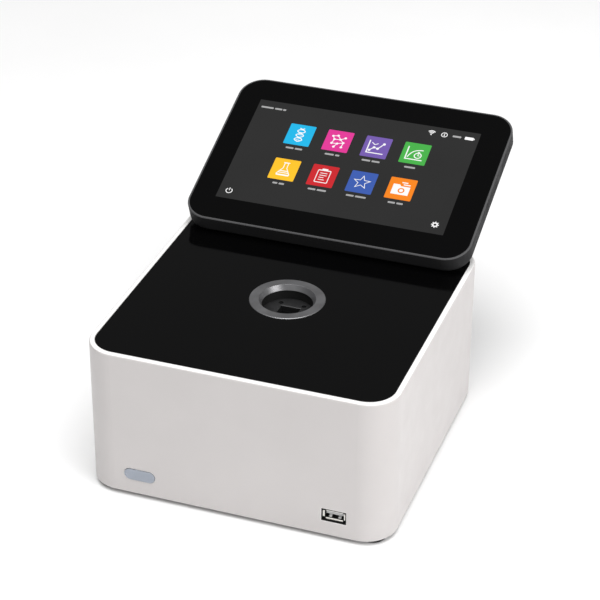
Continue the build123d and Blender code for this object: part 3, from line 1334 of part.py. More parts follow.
CHASSIS_HEIGHT = DISPLAY_HEIGHT - DISPLAY_WALL - PART_GAP - CHASSIS_LOW
with BuildPart() as display_chassis:
    # rail around the panel, under the glass
    with BuildSketch(behind_glass(GLASS_THICK + LCD_THICK)):
        with Locations((0, MID_UP)):
            RectangleRounded(
                CAVITY_WIDTH - 2 * PART_GAP,
                CAVITY_HEIGHT - 2 * PART_GAP,
                DISPLAY_CORNER - DISPLAY_WALL - PART_GAP,
            )
        with Locations(LCD_PLACE):
            Rectangle(LCD_WIDTH + 2 * PART_GAP, LCD_HEIGHT + 2 * PART_GAP, mode=Mode.SUBTRACT)
    extrude(amount=LCD_THICK)
    # plate behind the panel, which stops short of the hinge
    with BuildSketch(behind_glass(CHASSIS_BACK)):
        with Locations((0, MID_UP)):
            RectangleRounded(
                CAVITY_WIDTH - 2 * PART_GAP,
                CAVITY_HEIGHT - 2 * PART_GAP,
                DISPLAY_CORNER - DISPLAY_WALL - PART_GAP,
            )
        with Locations((0, CHASSIS_LOW + CHASSIS_HEIGHT / 2)):
            Rectangle(DISPLAY_WIDTH, CHASSIS_HEIGHT, mode=Mode.INTERSECT)
    extrude(amount=CHASSIS_THICK)
    with BuildSketch(behind_glass(CHASSIS_BACK)):
        with Locations(*DISPLAY_SCREWS, *LEAF_SCREWS):
            Circle(M2_RADIUS + THREAD_GAP)
    extrude(amount=CHASSIS_THICK, mode=Mode.SUBTRACT)
keep(display_chassis, "display_chassis")

with BuildPart() as display_board:
    with BuildSketch(behind_glass(CHASSIS_BACK + BOARD_THICK)):
        with Locations((0, DISPLAY_BOARD_LOW + DISPLAY_BOARD_HEIGHT / 2)):
            Rectangle(DISPLAY_BOARD_WIDTH, DISPLAY_BOARD_HEIGHT)
    extrude(amount=BOARD_THICK)
    with BuildSketch(behind_glass(CHASSIS_BACK + BOARD_THICK)):
        with Locations((0, DISPLAY_BOARD_LOW + DISPLAY_BOARD_HEIGHT / 2)):
            with GridLocations(CHIP_PITCH, CHIP_PITCH, 3, 2):
                Rectangle(CHIP_WIDTH, CHIP_WIDTH)
    extrude(amount=-DISPLAY_BOARD_CHIPS)
keep(display_board, "display_board")

# ---------------------------------------------------------------- fasteners

M2_HEAD = (M2_RADIUS, M2_HEAD_RADIUS, M2_HEAD_HEIGHT)

long_screws = screws(
    [
        (under(SEAT_DEPTH), flipped(FEET)),
        (level(BENCH_TOP_Z), PILLARS),
        (under(BENCH_Z), flipped(HOLDER_SCREWS + LAMP_SCREWS + SPECTRO_SCREWS)),
        (level(BENCH_TOP_Z + SPECTRO_HEIGHT + COVER_THICK), SPECTRO_SCREWS),
        (level(PANEL_Z - M3_HEAD_HEIGHT), BRACKET_SCREWS),
        (upright(REAR_INNER_Y - FAN_THICK), FAN_SCREWS),
    ],
    LONG_SCREW,
)
keep(long_screws, "long_screws")

short_screws = screws(
    [
        (under(FOOT_HEIGHT), flipped(PILLARS + FRONT_BOARD_HOLES + BOARD_HOLES)),
        (level(BOARD_TOP_Z), BOARD_HOLES),
        (level(FRONT_BOARD_TOP), FRONT_BOARD_HOLES),
        (under(LEDGE_Z - ARM_THICK), flipped(ARM_FOOT_SCREWS)),
    ],
    SHORT_SCREW,
)
keep(short_screws, "short_screws")

insert_screws = screws(
    [(level(WELL_FLOOR_Z - INSERT_SEAT), INSERT_SCREWS)],
    INSERT_THICK - INSERT_SEAT + INSERT_SCREW_GRIP,
    INSERT_SCREW_RADIUS,
    INSERT_HEAD_RADIUS,
    INSERT_HEAD_HEIGHT,
)
keep(insert_screws, "insert_screws")

rear_screws = screws([(upright(REAR_INNER_Y), REAR_SCREWS)], REAR_PANEL_THICK + REAR_SCREW_GRIP, *M2_HEAD)
keep(rear_screws, "rear_screws")

leaf_screws = screws(
    [(outside_display(CHASSIS_BACK + LEAF_THICK), flipped(LEAF_SCREWS))],
    LEAF_THICK + CHASSIS_THICK - THREAD_GAP,
    *M2_HEAD,
)
keep(leaf_screws, "leaf_screws")

display_screws = screws(
    [(outside_display(DISPLAY_THICK - BOSS_SEAT), flipped(DISPLAY_SCREWS))],
    DISPLAY_THICK - BOSS_SEAT - CHASSIS_BACK + CHASSIS_THICK - THREAD_GAP,
    *M2_HEAD,
)
keep(display_screws, "display_screws")
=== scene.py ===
import math

import bmesh
import bpy
from mathutils import Matrix, Vector
from mathutils.bvhtree import BVHTree


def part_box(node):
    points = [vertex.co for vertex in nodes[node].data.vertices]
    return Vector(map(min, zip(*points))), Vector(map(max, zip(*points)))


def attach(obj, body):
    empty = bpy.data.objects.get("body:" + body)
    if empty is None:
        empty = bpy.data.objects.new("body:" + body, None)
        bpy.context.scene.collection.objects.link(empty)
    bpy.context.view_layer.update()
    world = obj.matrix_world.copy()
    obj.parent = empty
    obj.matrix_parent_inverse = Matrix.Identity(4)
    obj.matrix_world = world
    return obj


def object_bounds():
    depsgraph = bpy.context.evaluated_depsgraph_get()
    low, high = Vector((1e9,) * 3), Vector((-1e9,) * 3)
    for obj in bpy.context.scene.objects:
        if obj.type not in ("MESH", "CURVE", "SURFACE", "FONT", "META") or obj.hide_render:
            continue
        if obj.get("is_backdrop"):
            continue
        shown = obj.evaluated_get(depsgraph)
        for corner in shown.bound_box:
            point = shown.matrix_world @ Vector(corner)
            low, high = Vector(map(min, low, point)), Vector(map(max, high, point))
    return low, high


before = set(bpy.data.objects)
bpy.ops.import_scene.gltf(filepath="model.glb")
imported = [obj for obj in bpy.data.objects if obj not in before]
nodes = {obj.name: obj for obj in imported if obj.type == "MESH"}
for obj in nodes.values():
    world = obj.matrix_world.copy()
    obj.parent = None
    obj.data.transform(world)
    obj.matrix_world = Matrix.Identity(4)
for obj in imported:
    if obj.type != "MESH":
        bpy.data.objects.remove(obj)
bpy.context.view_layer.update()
MM = 0.001

# ---------------------------------------------------------------- camera

AZIMUTH, ELEVATION, ROLL = math.radians(19.367), math.radians(30.807), math.radians(0.298)
AIM = Vector((0.0081, -0.0458, 0.1036))
DISTANCE = 1.3389
LENS, SENSOR = 127.06, 36
back = Vector((
    math.sin(AZIMUTH) * math.cos(ELEVATION),
    -math.cos(AZIMUTH) * math.cos(ELEVATION),
    math.sin(ELEVATION),
))
camera = bpy.data.objects.new("camera", bpy.data.cameras.new("camera"))
bpy.context.scene.collection.objects.link(camera)
camera.data.lens, camera.data.sensor_width = LENS, SENSOR
camera.data.clip_start, camera.data.clip_end = 0.05, 50
camera.matrix_world = (
    Matrix.Translation(AIM + back * DISTANCE)
    @ Matrix.Rotation(AZIMUTH, 4, "Z")
    @ Matrix.Rotation(math.pi / 2 - ELEVATION, 4, "X")
    @ Matrix.Rotation(ROLL, 4, "Z")
)
bpy.context.scene.camera = camera
bpy.context.scene.view_settings.view_transform = "Standard"

# ---------------------------------------------------------------- lights and floor


def area_light(name, place, aim, size, power, tint=(1, 1, 1)):
    data = bpy.data.lights.new(name, "AREA")
    data.shape = "RECTANGLE"
    data.size, data.size_y = size
    data.energy = power
    data.color = tint
    light = bpy.data.objects.new(name, data)
    bpy.context.scene.collection.objects.link(light)
    light.location = place
    light.rotation_euler = (Vector(aim) - Vector(place)).to_track_quat("-Z", "Y").to_euler()


area_light("over", (0.2, -0.5, 2.2), (0.1, -0.2, 0), (2.4, 2.4), 74)
area_light("key", (1.9, -0.7, 0.9), (0.05, -0.05, 0.05), (1.3, 1.3), 19, (1.0, 0.99, 0.984))
area_light("fill", (-0.7, -2.1, 0.9), (0, -0.05, 0.05), (1.6, 1.2), 0.6, (1.0, 0.997, 0.994))

world = bpy.data.worlds.new("studio")
world.use_nodes = True
world.node_tree.nodes["Background"].inputs["Color"].default_value = (1.0, 1.0, 1.0, 1)
world.node_tree.nodes["Background"].inputs["Strength"].default_value = 0.14
bpy.context.scene.world = world

floor_mesh = bpy.data.meshes.new("floor")
FLOOR_REACH = 6.0
floor_corners = [(x * FLOOR_REACH, y * FLOOR_REACH, 0) for x, y in ((-1, -1), (1, -1), (1, 1), (-1, 1))]
floor_mesh.from_pydata(floor_corners, [], [(0, 1, 2, 3)])
floor = bpy.data.objects.new("floor", floor_mesh)
bpy.context.scene.collection.objects.link(floor)
floor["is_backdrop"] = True

# ---------------------------------------------------------------- materials


class Shader:
    """One Principled material and the nodes that drive it."""

    def __init__(self, name, copy_of=None, **values):
        self.material = copy_of.copy() if copy_of else bpy.data.materials.new(name)
        self.material.name = name
        self.material.use_nodes = True
        self.tree = self.material.node_tree
        self.bsdf = self.tree.nodes["Principled BSDF"]
        self.place = self.add("ShaderNodeTexCoord").outputs["Object"]
        for key, value in values.items():
            self.bsdf.inputs[key.replace("_", " ")].default_value = value

    def add(self, kind, **settings):
        node = self.tree.nodes.new(kind)
        for key, value in settings.items():
            setattr(node, key, value)
        return node

    def wire(self, source, target):
        self.tree.links.new(source, target)

    def noise(self, scale, detail=3.0, stretch=(1, 1, 1), roughness=0.55):
        """Noise with features of about 1 / scale metres, from 0 to 1."""
        mapping = self.add("ShaderNodeMapping")
        mapping.inputs["Scale"].default_value = stretch
        self.wire(self.place, mapping.inputs["Vector"])
        node = self.add("ShaderNodeTexNoise")
        node.inputs["Scale"].default_value = scale
        node.inputs["Detail"].default_value = detail
        node.inputs["Roughness"].default_value = roughness
        self.wire(mapping.outputs[0], node.inputs["Vector"])
        return node.outputs["Fac"]

    def spread(self, value, low, high, start=0.3, end=0.7):
        """Maps a 0 to 1 value to low to high."""
        node = self.add("ShaderNodeMapRange")
        self.wire(value, node.inputs["Value"])
        for key, number in (("From Min", start), ("From Max", end), ("To Min", low), ("To Max", high)):
            node.inputs[key].default_value = number
        return node.outputs[0]

    def math(self, operation, *values):
        node = self.add("ShaderNodeMath", operation=operation)
        for socket, value in zip(node.inputs, values):
            if isinstance(value, (int, float)):
                socket.default_value = value
            else:
                self.wire(value, socket)
        return node.outputs[0]

    def mix(self, share, first, second):
        node = self.add("ShaderNodeMix", data_type="RGBA")
        self.wire(share, node.inputs["Factor"])
        for socket, value in ((node.inputs[6], first), (node.inputs[7], second)):
            if isinstance(value, (tuple, list)):
                socket.default_value = (*value[:3], 1)
            else:
                self.wire(value, socket)
        return node.outputs[2]

    def edges(self, radius):
        """1 on convex edges and 0 elsewhere: worn edges, and on some materials a painted edge highlight."""
        bevel = self.add("ShaderNodeBevel", samples=4)
        bevel.inputs["Radius"].default_value = radius
        plain = self.add("ShaderNodeNewGeometry")
        dot = self.add("ShaderNodeVectorMath", operation="DOT_PRODUCT")
        self.wire(bevel.outputs[0], dot.inputs[0])
        self.wire(plain.outputs["Normal"], dot.inputs[1])
        return self.spread(dot.outputs["Value"], 1.0, 0.0, 0.8, 0.985)

    def bump(self, height, depth, strength=1.0, round_edge=0.0):
        node = self.add("ShaderNodeBump")
        node.inputs["Strength"].default_value = strength
        node.inputs["Distance"].default_value = depth
        self.wire(height, node.inputs["Height"])
        if round_edge:
            bevel = self.add("ShaderNodeBevel", samples=4)
            bevel.inputs["Radius"].default_value = round_edge
            self.wire(bevel.outputs[0], node.inputs["Normal"])
        self.wire(node.outputs[0], self.bsdf.inputs["Normal"])


def scaled(colour, factor):
    return tuple(min(1.0, c * factor) for c in colour[:3])


def finish(name, colour, rough, grain=900, depth=0.00002, vary=0.12, wear_and_highlight=None, edge_radius=0.0006,
           stretch=(1, 1, 1), rough_vary=0.25, round_edge=0.0, blotch=25, tint=None, **values):
    """A material with mottled colour, uneven roughness, a fine grain and lighter convex edges: worn edges,
    and on some materials a painted edge highlight.
    """
    shader = Shader(name, **values)
    broad = shader.noise(blotch, 4.0)
    base = shader.mix(shader.spread(broad, 0, 1), scaled(colour, 1 - vary), scaled(tint or colour, 1 + vary))
    fine = shader.noise(grain, 2.0, stretch)
    base = shader.mix(shader.spread(fine, 0, vary), base, scaled(colour, 1.35))
    if wear_and_highlight:
        patches = shader.spread(shader.noise(260, 3.0), 0.35, 1.0)
        base = shader.mix(shader.math("MULTIPLY", shader.edges(edge_radius), patches), base, wear_and_highlight)
    shader.wire(base, shader.bsdf.inputs["Base Color"])
    uneven = shader.spread(shader.noise(blotch * 3, 3.0), rough * (1 - rough_vary), rough * (1 + rough_vary))
    shader.wire(uneven, shader.bsdf.inputs["Roughness"])
    shader.bump(fine, depth, 1.0, round_edge)
    return shader.material


def linear(*rgb):
    """sRGB 0 to 255 as linear colour."""
    return tuple(((c / 255 + 0.055) / 1.055) ** 2.4 if c > 10 else c / 255 / 12.92 for c in rgb)


LONG_X, LONG_Y = (0.02, 1, 1), (1, 0.02, 1)

# The near white edge colour of the case paint is a painted edge highlight.
white_paint = finish("white_powder_coat", linear(200, 196, 195), 0.4, grain=1500, depth=0.000012, vary=0.018,
                     wear_and_highlight=linear(252, 251, 250), edge_radius=0.0012, round_edge=0.0006, rough_vary=0.15,
                     Specular_IOR_Level=0.45)
# The lighter edge colour of the gloss black panel is a painted edge highlight.
piano_black = finish("gloss_black_panel", linear(3.5, 3.5, 3.8), 0.09, grain=420, depth=0.0000012, vary=0.10,
                     blotch=9, wear_and_highlight=linear(70, 70, 72), edge_radius=0.0003, rough_vary=0.35,
                     Specular_IOR_Level=0.24)
collar_metal = finish("dark_anodised_ring", linear(138, 138, 140), 0.40, grain=2400, depth=0.000008,
                      vary=0.08,
                      wear_and_highlight=linear(146, 146, 147), edge_radius=0.0003, round_edge=0.0002, Metallic=0.8)
holder_metal = finish("black_anodised", linear(56, 56, 57), 0.42, grain=2600, depth=0.000008, vary=0.12,
                      wear_and_highlight=linear(110, 110, 110), edge_radius=0.0003, Metallic=0.7)
grey_paint = finish("grey_textured_paint", linear(70, 71, 73), 0.55, grain=1300, depth=0.00003, vary=0.07,
                    wear_and_highlight=linear(120, 120, 120), edge_radius=0.0006)
steel = finish("brushed_steel", linear(170, 170, 170), 0.33, grain=1800, depth=0.000006, vary=0.10,
               stretch=LONG_X, wear_and_highlight=linear(220, 220, 220), edge_radius=0.0004, Metallic=1.0)
aluminium = finish("milled_aluminium", linear(178, 180, 182), 0.36, grain=1500, depth=0.000006, vary=0.07,
                   stretch=LONG_Y, wear_and_highlight=linear(225, 225, 226), edge_radius=0.0005, Metallic=1.0)
black_zinc = finish("black_zinc_screws", linear(44, 44, 46), 0.35, grain=2500, depth=0.000006, vary=0.15,
                    wear_and_highlight=linear(130, 130, 130), edge_radius=0.0003, Metallic=0.9)
rubber = finish("foot_rubber", linear(34, 34, 34), 0.75, grain=1600, depth=0.00004, vary=0.12,
                wear_and_highlight=linear(62, 62, 62))
black_plastic = finish("black_moulded_plastic", linear(30, 30, 31), 0.48, grain=2200, depth=0.00002,
                       vary=0.10, wear_and_highlight=linear(66, 66, 67), edge_radius=0.0004, round_edge=0.0002)
rocker_plastic = finish("rocker_plastic", linear(26, 26, 27), 0.25, grain=1500, depth=0.000008, vary=0.10,
                        wear_and_highlight=linear(60, 60, 60), edge_radius=0.0005, round_edge=0.0003)
nickel = finish("nickel_plate", linear(205, 203, 198), 0.2, grain=1600, depth=0.000004, vary=0.06,
                stretch=LONG_X, wear_and_highlight=linear(240, 240, 238), edge_radius=0.0002, Metallic=1.0)
pale_plastic = finish("socket_tongue_plastic", linear(196, 196, 196), 0.4, grain=2000, depth=0.00001,
                      vary=0.05, wear_and_highlight=linear(222, 222, 222), edge_radius=0.0002)
solder_mask = finish("green_circuit_board", linear(22, 92, 52), 0.35, grain=1200, depth=0.00002, vary=0.18,
                     wear_and_highlight=linear(170, 160, 110), edge_radius=0.0003)
sleeve = finish("battery_sleeve", linear(40, 62, 110), 0.35, grain=500, depth=0.00004, vary=0.10,
                wear_and_highlight=linear(70, 90, 140))
amber_film = finish("heater_film", linear(196, 122, 38), 0.3, grain=1100, depth=0.00002, vary=0.15,
                    wear_and_highlight=linear(225, 160, 70), edge_radius=0.0003)
sensor_ceramic = finish("sensor_ceramic", linear(60, 60, 64), 0.3, grain=1800, depth=0.000005, vary=0.10,
                        wear_and_highlight=linear(110, 110, 112), edge_radius=0.0003)
mirror_coat = finish("ruled_mirror_coat", linear(226, 228, 232), 0.08, grain=6000, depth=0.000002, vary=0.03,
                     stretch=(1, 1, 0.02), Metallic=1.0)
lens_glass = finish("lens_glass", linear(235, 242, 244), 0.03, grain=300, depth=0.0000002, vary=0.02,
                    Transmission_Weight=0.9, IOR=1.5)
bulb_glass = finish("lamp_glass", linear(238, 238, 232), 0.06, grain=300, depth=0.000001, vary=0.03,
                    Transmission_Weight=0.6, IOR=1.46)
# The lighter edge colour of the display housing is a painted edge highlight.
display_black = finish("display_housing", linear(44, 44, 45), 0.6, grain=2000, depth=0.000008, vary=0.08,
                       wear_and_highlight=linear(66, 66, 67), edge_radius=0.0002, Specular_IOR_Level=0.06)
border_glass = finish("cover_glass_black_border", linear(5, 5, 5.3), 0.06, grain=300, depth=0.0000004,
                      vary=0.08,
                      blotch=10, wear_and_highlight=linear(60, 60, 62), edge_radius=0.0002, Specular_IOR_Level=0.2)
cast_alloy = finish("cast_chassis", linear(120, 121, 123), 0.5, grain=900, depth=0.00003, vary=0.08,
                    wear_and_highlight=linear(170, 170, 170), edge_radius=0.0004, Metallic=0.8)
panel_glass = finish("liquid_crystal_panel", linear(46, 46, 50), 0.2, grain=800, depth=0.000001, vary=0.06)
badge_metal = finish("brushed_badge", linear(150, 156, 166), 0.3, grain=2200, depth=0.000006, vary=0.10,
                     stretch=LONG_X, wear_and_highlight=linear(225, 228, 232), edge_radius=0.0004, Metallic=0.85)
gold = finish("gold_contacts", linear(214, 170, 84), 0.25, grain=1500, depth=0.000003, vary=0.08,
              Metallic=1.0)
# Painted highlight: the sprung contacts are painted near white and barely metallic, so they shine as glints
# inside the socket.
glint_painted_contacts = finish("sprung_contacts_painted_glint", linear(255, 255, 253), 0.35, grain=1500, depth=0.000003, vary=0.06,
                      Metallic=0.2)
black_oxide = finish("black_oxide_screws", linear(16, 16, 17), 0.45, grain=2500, depth=0.000006, vary=0.15,
                     wear_and_highlight=linear(34, 34, 34), edge_radius=0.0002, Metallic=0.5)
white_mark = finish("white_marks", linear(226, 226, 226), 0.5, grain=1800, depth=0.000006, vary=0.04)

USES = {
    white_paint: ["outer_shell"],
    piano_black: ["top_panel"],
    collar_metal: ["well_collar"],
    holder_metal: ["slot_insert", "cuvette_holder", "lens_tubes", "spectrometer_housing",
                   "spectrometer_cover", "slit_plate"],
    grey_paint: ["base_plate", "rear_panel"],
    rubber: ["rubber_feet"],
    badge_metal: ["front_badge"],
    steel: ["cuvette_plunger", "plunger_spring", "plunger_cap", "hinge_arms", "hinge_pins", "hinge_leaves",
            "friction_washers", "hinge_bracket", "bench_pillars", "board_standoffs"],
    black_zinc: ["long_screws", "short_screws", "rear_screws", "leaf_screws", "display_screws"],
    black_oxide: ["insert_screws"],
    amber_film: ["cuvette_heater"],
    nickel: ["front_usb_shell", "usb_a_ports", "usb_b_port", "hdmi_port", "network_port"],
    pale_plastic: ["front_usb_tongue"],
    black_plastic: ["dc_inlet", "fan_frame", "switch_body", "fan_rotor"],
    rocker_plastic: ["power_rocker"],
    solder_mask: ["front_usb_board", "mainboard", "sensor_board", "display_board"],
    aluminium: ["heat_sink", "optical_bench", "lamp_housing", "grating_mount"],
    sleeve: ["battery_pack"],
    lens_glass: ["collimating_lens", "focusing_lens"],
    bulb_glass: ["flash_lamp"],
    mirror_coat: ["diffraction_grating"],
    sensor_ceramic: ["light_sensor"],
    display_black: ["display_back_cover"],
    border_glass: ["display_glass"],
    panel_glass: ["lcd_panel"],
    cast_alloy: ["display_chassis"],
}
for material, names in USES.items():
    for name in names:
        node = nodes[name]
        node.data.materials.clear()
        node.data.materials.append(material)

# ---------------------------------------------------------------- places with a second finish: painted shade and a painted highlight


def inside(shader, low, high, soft=0.00004):
    """1 within a box in the object's own frame and 0 outside it."""
    split = shader.add("ShaderNodeSeparateXYZ")
    shader.wire(shader.place, split.inputs[0])
    share = None
    for axis in range(3):
        half, centre = (high[axis] - low[axis]) / 2, (high[axis] + low[axis]) / 2
        off = shader.math("ABSOLUTE", shader.math("SUBTRACT", split.outputs[axis], centre))
        near = shader.spread(off, 1.0, 0.0, half - soft, half + soft)
        share = near if share is None else shader.math("MULTIPLY", share, near)
    return share


def beyond(shader, start, direction, distance, soft=0.00004):
    """1 past a distance from a point along a direction and 0 before it."""
    off = shader.add("ShaderNodeVectorMath", operation="DOT_PRODUCT")
    shader.wire(shader.place, off.inputs[0])
    off.inputs[1].default_value = direction
    edge = start.dot(direction) + distance
    return shader.spread(off.outputs["Value"], 0.0, 1.0, edge - soft, edge + soft)


def second_finish(material, name, places, colour, rough, metallic):
    """A copy of a material that has another colour, roughness and metal share in some places."""
    shader = Shader(name, copy_of=material)
    share = None
    for place in places:
        here = inside(shader, *place) if len(place) == 2 else beyond(shader, *place)
        share = here if share is None else shader.math("MAXIMUM", share, here)
    colour_now = shader.bsdf.inputs["Base Color"].links[0].from_socket
    rough_now = shader.bsdf.inputs["Roughness"].links[0].from_socket
    speck = shader.mix(shader.spread(shader.noise(2200, 2.0), 0, 1), scaled(colour, 0.85), scaled(colour,
                                                                                                  1.15))
    shader.wire(shader.mix(share, colour_now, speck), shader.bsdf.inputs["Base Color"])
    blend = shader.add("ShaderNodeMix", data_type="FLOAT")
    shader.wire(share, blend.inputs["Factor"])
    shader.wire(rough_now, blend.inputs[2])
    blend.inputs[3].default_value = rough
    shader.wire(blend.outputs[0], shader.bsdf.inputs["Roughness"])
    was = shader.bsdf.inputs["Metallic"].default_value
    if metallic != was:
        shader.wire(shader.spread(share, was, metallic, 0.0, 1.0), shader.bsdf.inputs["Metallic"])
    return shader.material


def repaint(node, *args):
    """Gives a CAD node a second finish: name, places, colour, roughness and metal share."""
    nodes[node].data.materials[0] = second_finish(nodes[node].data.materials[0], *args)


shell_low, shell_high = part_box("outer_shell")
usb_low, usb_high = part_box("front_usb_shell")
usb_middle = (usb_low + usb_high) / 2
# Painted shade: the walls of the case's hole round the front socket are painted near black, the shade inside
# the hole.
HOLE_REACH = Vector((9.0 * MM, 0, 5.6 * MM))
HOLE_START, HOLE_END = 0.25 * MM, 6.0 * MM
front_hole = (
    Vector((usb_middle.x, shell_low.y + HOLE_START, usb_middle.z)) - HOLE_REACH,
    Vector((usb_middle.x, shell_low.y + HOLE_END, usb_middle.z)) + HOLE_REACH,
)
repaint("outer_shell", "white_powder_coat_cut_edges", [front_hole], linear(14, 14, 14), 0.7, 0.0)
# Painted highlight: the top 0.3 mm of the case is painted lighter, a bright band along the top edge.
RIM_DEPTH = 0.3 * MM
rim = (shell_high, Vector((0, 0, 1)), -RIM_DEPTH)
repaint("outer_shell", "white_powder_coat_rim", [rim], linear(236, 235, 234), 0.35, 0.0)
collar_low, collar_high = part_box("well_collar")
_, holder_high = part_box("cuvette_holder")
# Painted shade: the cuvette shaft down the middle of the holder is painted near black, the shade deep in the
# well.
SLOT_FORWARD, CONE_DEPTH = 1.0 * MM, 3.6 * MM
SHAFT_REACH = Vector((6.6 * MM, 6.6 * MM, 60 * MM))
slot_middle = Vector((0, (collar_low.y + collar_high.y) / 2 - SLOT_FORWARD, holder_high.z))
shaft = (slot_middle - SHAFT_REACH, slot_middle + SHAFT_REACH)
repaint("cuvette_holder", "black_anodised_shaft", [shaft], linear(7, 7, 7), 0.6, 0.0)
# Painted shade: the collar's bore below the cone is painted near black, the shade inside the well.
below_cone = (collar_high, Vector((0, 0, -1)), CONE_DEPTH)
repaint("well_collar", "dark_anodised_ring_bore", [below_cone], linear(12, 12, 12), 0.6, 0.0)
# Painted shade: inside the front USB shell behind its lip, past its tabs and at its corners the plating is
# painted near black, the shade inside the socket; only the tabs and front edge stay bright.
USB_HALF = Vector((6.55 * MM, 2.85 * MM))
TAB_REST = 0.35 * MM
SHELL_LIP = 0.4 * MM
CORNER_X, CORNER_Z = 7.5 * MM, 4.2 * MM
CORNER_REACH = Vector((2.0 * MM, 20 * MM, 2.0 * MM))
corners = []
for x in (-1, 1):
    for z in (-1, 1):
        corner = usb_middle + Vector((x * CORNER_X, 0, z * CORNER_Z))
        corners.append((corner - CORNER_REACH, corner + CORNER_REACH))
past_tabs = usb_middle + Vector((USB_HALF.x + TAB_REST, 0, USB_HALF.y))
shaded_places = corners + [
    (past_tabs, Vector((1, 0, 0)), 0.0),
    (past_tabs, Vector((0, 0, 1)), 0.0),
    (usb_low, Vector((0, 1, 0)), SHELL_LIP),
]
repaint("front_usb_shell", "nickel_plate_tabs", shaded_places, linear(12, 12, 12), 0.5, 0.0)

# ---------------------------------------------------------------- the display's own frame

TILT = math.radians(20)
GLASS = 1.8 * MM
up_glass = Vector((0, math.cos(TILT), math.sin(TILT)))
out_of_glass = Vector((0, -math.sin(TILT), math.cos(TILT)))
glass_low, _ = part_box("display_glass")
low_edge = Vector((0, glass_low.y, glass_low.z + GLASS * math.cos(TILT)))
on_glass = Matrix((
    (1, 0, 0, low_edge.x),
    (0, up_glass.y, out_of_glass.y, low_edge.y),
    (0, up_glass.z, out_of_glass.z, low_edge.z),
    (0, 0, 0, 1),
))


def display_box(name):
    """Lowest and highest corner of a CAD node in the display's own frame."""
    places = [on_glass.inverted() @ vertex.co for vertex in nodes[name].data.vertices]
    spans = [[place[axis] for place in places] for axis in range(3)]
    return Vector([min(span) for span in spans]), Vector([max(span) for span in spans])


# Painted highlight: the outer chamfer round the glass is painted lighter grey than the housing, a bright line
# along the edge.
CHAMFER = 0.5 * MM
_, back_high = display_box("display_back_cover")
chamfer_start = on_glass @ Vector((0, 0, back_high.z))
repaint("display_back_cover", "display_housing_cut_edge", [(chamfer_start, out_of_glass, -CHAMFER)],
        linear(80, 80, 81), 0.5, 0.0)


def outline_piece(name, outlines, low, high, where, material, body, bevel=0.0):
    """A flat closed piece cut from outlines, whose inner ones are holes, between two heights."""
    curve = bpy.data.curves.new(name, "CURVE")
    curve.dimensions = "2D"
    curve.fill_mode = "BOTH"
    curve.extrude = (high - low) / 2
    curve.bevel_depth = bevel
    curve.offset = -bevel
    for points in outlines:
        spline = curve.splines.new("POLY")
        spline.points.add(len(points) - 1)
        for target, (x, y) in zip(spline.points, points):
            target.co = (x, y, 0, 1)
        spline.use_cyclic_u = True
    holder = bpy.data.objects.new(name + "_outline", curve)
    bpy.context.scene.collection.objects.link(holder)
    bpy.context.view_layer.update()
    mesh = bpy.data.meshes.new_from_object(holder.evaluated_get(bpy.context.evaluated_depsgraph_get()))
    bpy.data.objects.remove(holder)
    mesh.name = name
    welded = bmesh.new()
    welded.from_mesh(mesh)
    bmesh.ops.remove_doubles(welded, verts=welded.verts, dist=1e-7)
    bmesh.ops.recalc_face_normals(welded, faces=welded.faces)
    welded.to_mesh(mesh)
    welded.free()
    mesh.transform(where @ Matrix.Translation((0, 0, (low + high) / 2)))
    mesh.materials.clear()
    mesh.materials.append(material)
    piece = bpy.data.objects.new(name, mesh)
    bpy.context.scene.collection.objects.link(piece)
    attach(piece, body)
    return piece


def ring(x, y, radius, steps=32, start=0.0, sweep=2 * math.pi):
    return [
        (x + radius * math.cos(start + sweep * k / steps), y + radius * math.sin(start + sweep * k / steps))
        for k in range(steps)
    ]


def rounded(x, y, width, height, radius, steps=5):
    points = []
    for cx, cy, start in ((1, 1, 0), (-1, 1, 90), (-1, -1, 180), (1, -1, 270)):
        for k in range(steps + 1):
            angle = math.radians(start + 90 * k / steps)
            points.append((
                x + cx * (width / 2 - radius) + radius * math.cos(angle),
                y + cy * (height / 2 - radius) + radius * math.sin(angle),
            ))
    return points


def stroke(points, width, closed=False):
    """The outline of a line of even width along points."""
    left, right = [], []
    count = len(points)
    for k, here in enumerate(points):
        before = points[(k - 1) % count] if closed or k else here
        after = points[(k + 1) % count] if closed or k < count - 1 else here
        along = (Vector(after) - Vector(before)).normalized()
        across = Vector((-along.y, along.x)) * width / 2
        left.append(tuple(Vector(here) + across))
        right.append(tuple(Vector(here) - across))
    if closed:
        return [left, right]
    return [left + right[::-1]]


def screen_finish(name, colour, glow=1.0, **more):
    """A lit part of the screen: an even glow with a faint grain of picture cells, under glossy glass."""
    shader = Shader(name, Specular_IOR_Level=0.16, Emission_Strength=glow, **more)
    cells = shader.noise(1400, 1.0)
    shade = shader.mix(shader.spread(shader.noise(18, 2.0), 0, 1), scaled(colour, 0.94), scaled(colour, 1.04))
    lit = shader.mix(shader.spread(cells, 0, 0.06), shade, scaled(colour, 1.3))
    off = shader.mix(shader.spread(cells, 0, 1), scaled(colour, 0.05), scaled(colour, 0.08))
    shader.wire(off, shader.bsdf.inputs["Base Color"])
    shader.wire(lit, shader.bsdf.inputs["Emission Color"])
    shader.wire(shader.spread(shader.noise(40, 2.0), 0.05, 0.09), shader.bsdf.inputs["Roughness"])
    shader.bump(cells, 0.0000003)
    return shader.material


# ---------------------------------------------------------------- screen picture

SHEET = 0.04 * MM
LAYER = 0.05 * MM
LCD_MARGIN = 4 * MM
SCREEN_LIFT = 0.005 * MM
lcd_low, lcd_high = display_box("lcd_panel")
middle = (lcd_low + lcd_high) / 2
lit_width = lcd_high.x - lcd_low.x - 2 * LCD_MARGIN
lit_height = lcd_high.y - lcd_low.y - 2 * LCD_MARGIN
on_screen = on_glass @ Matrix.Translation((middle.x, middle.y, SCREEN_LIFT)) @ Matrix.Diagonal((MM, MM, 1, 1))


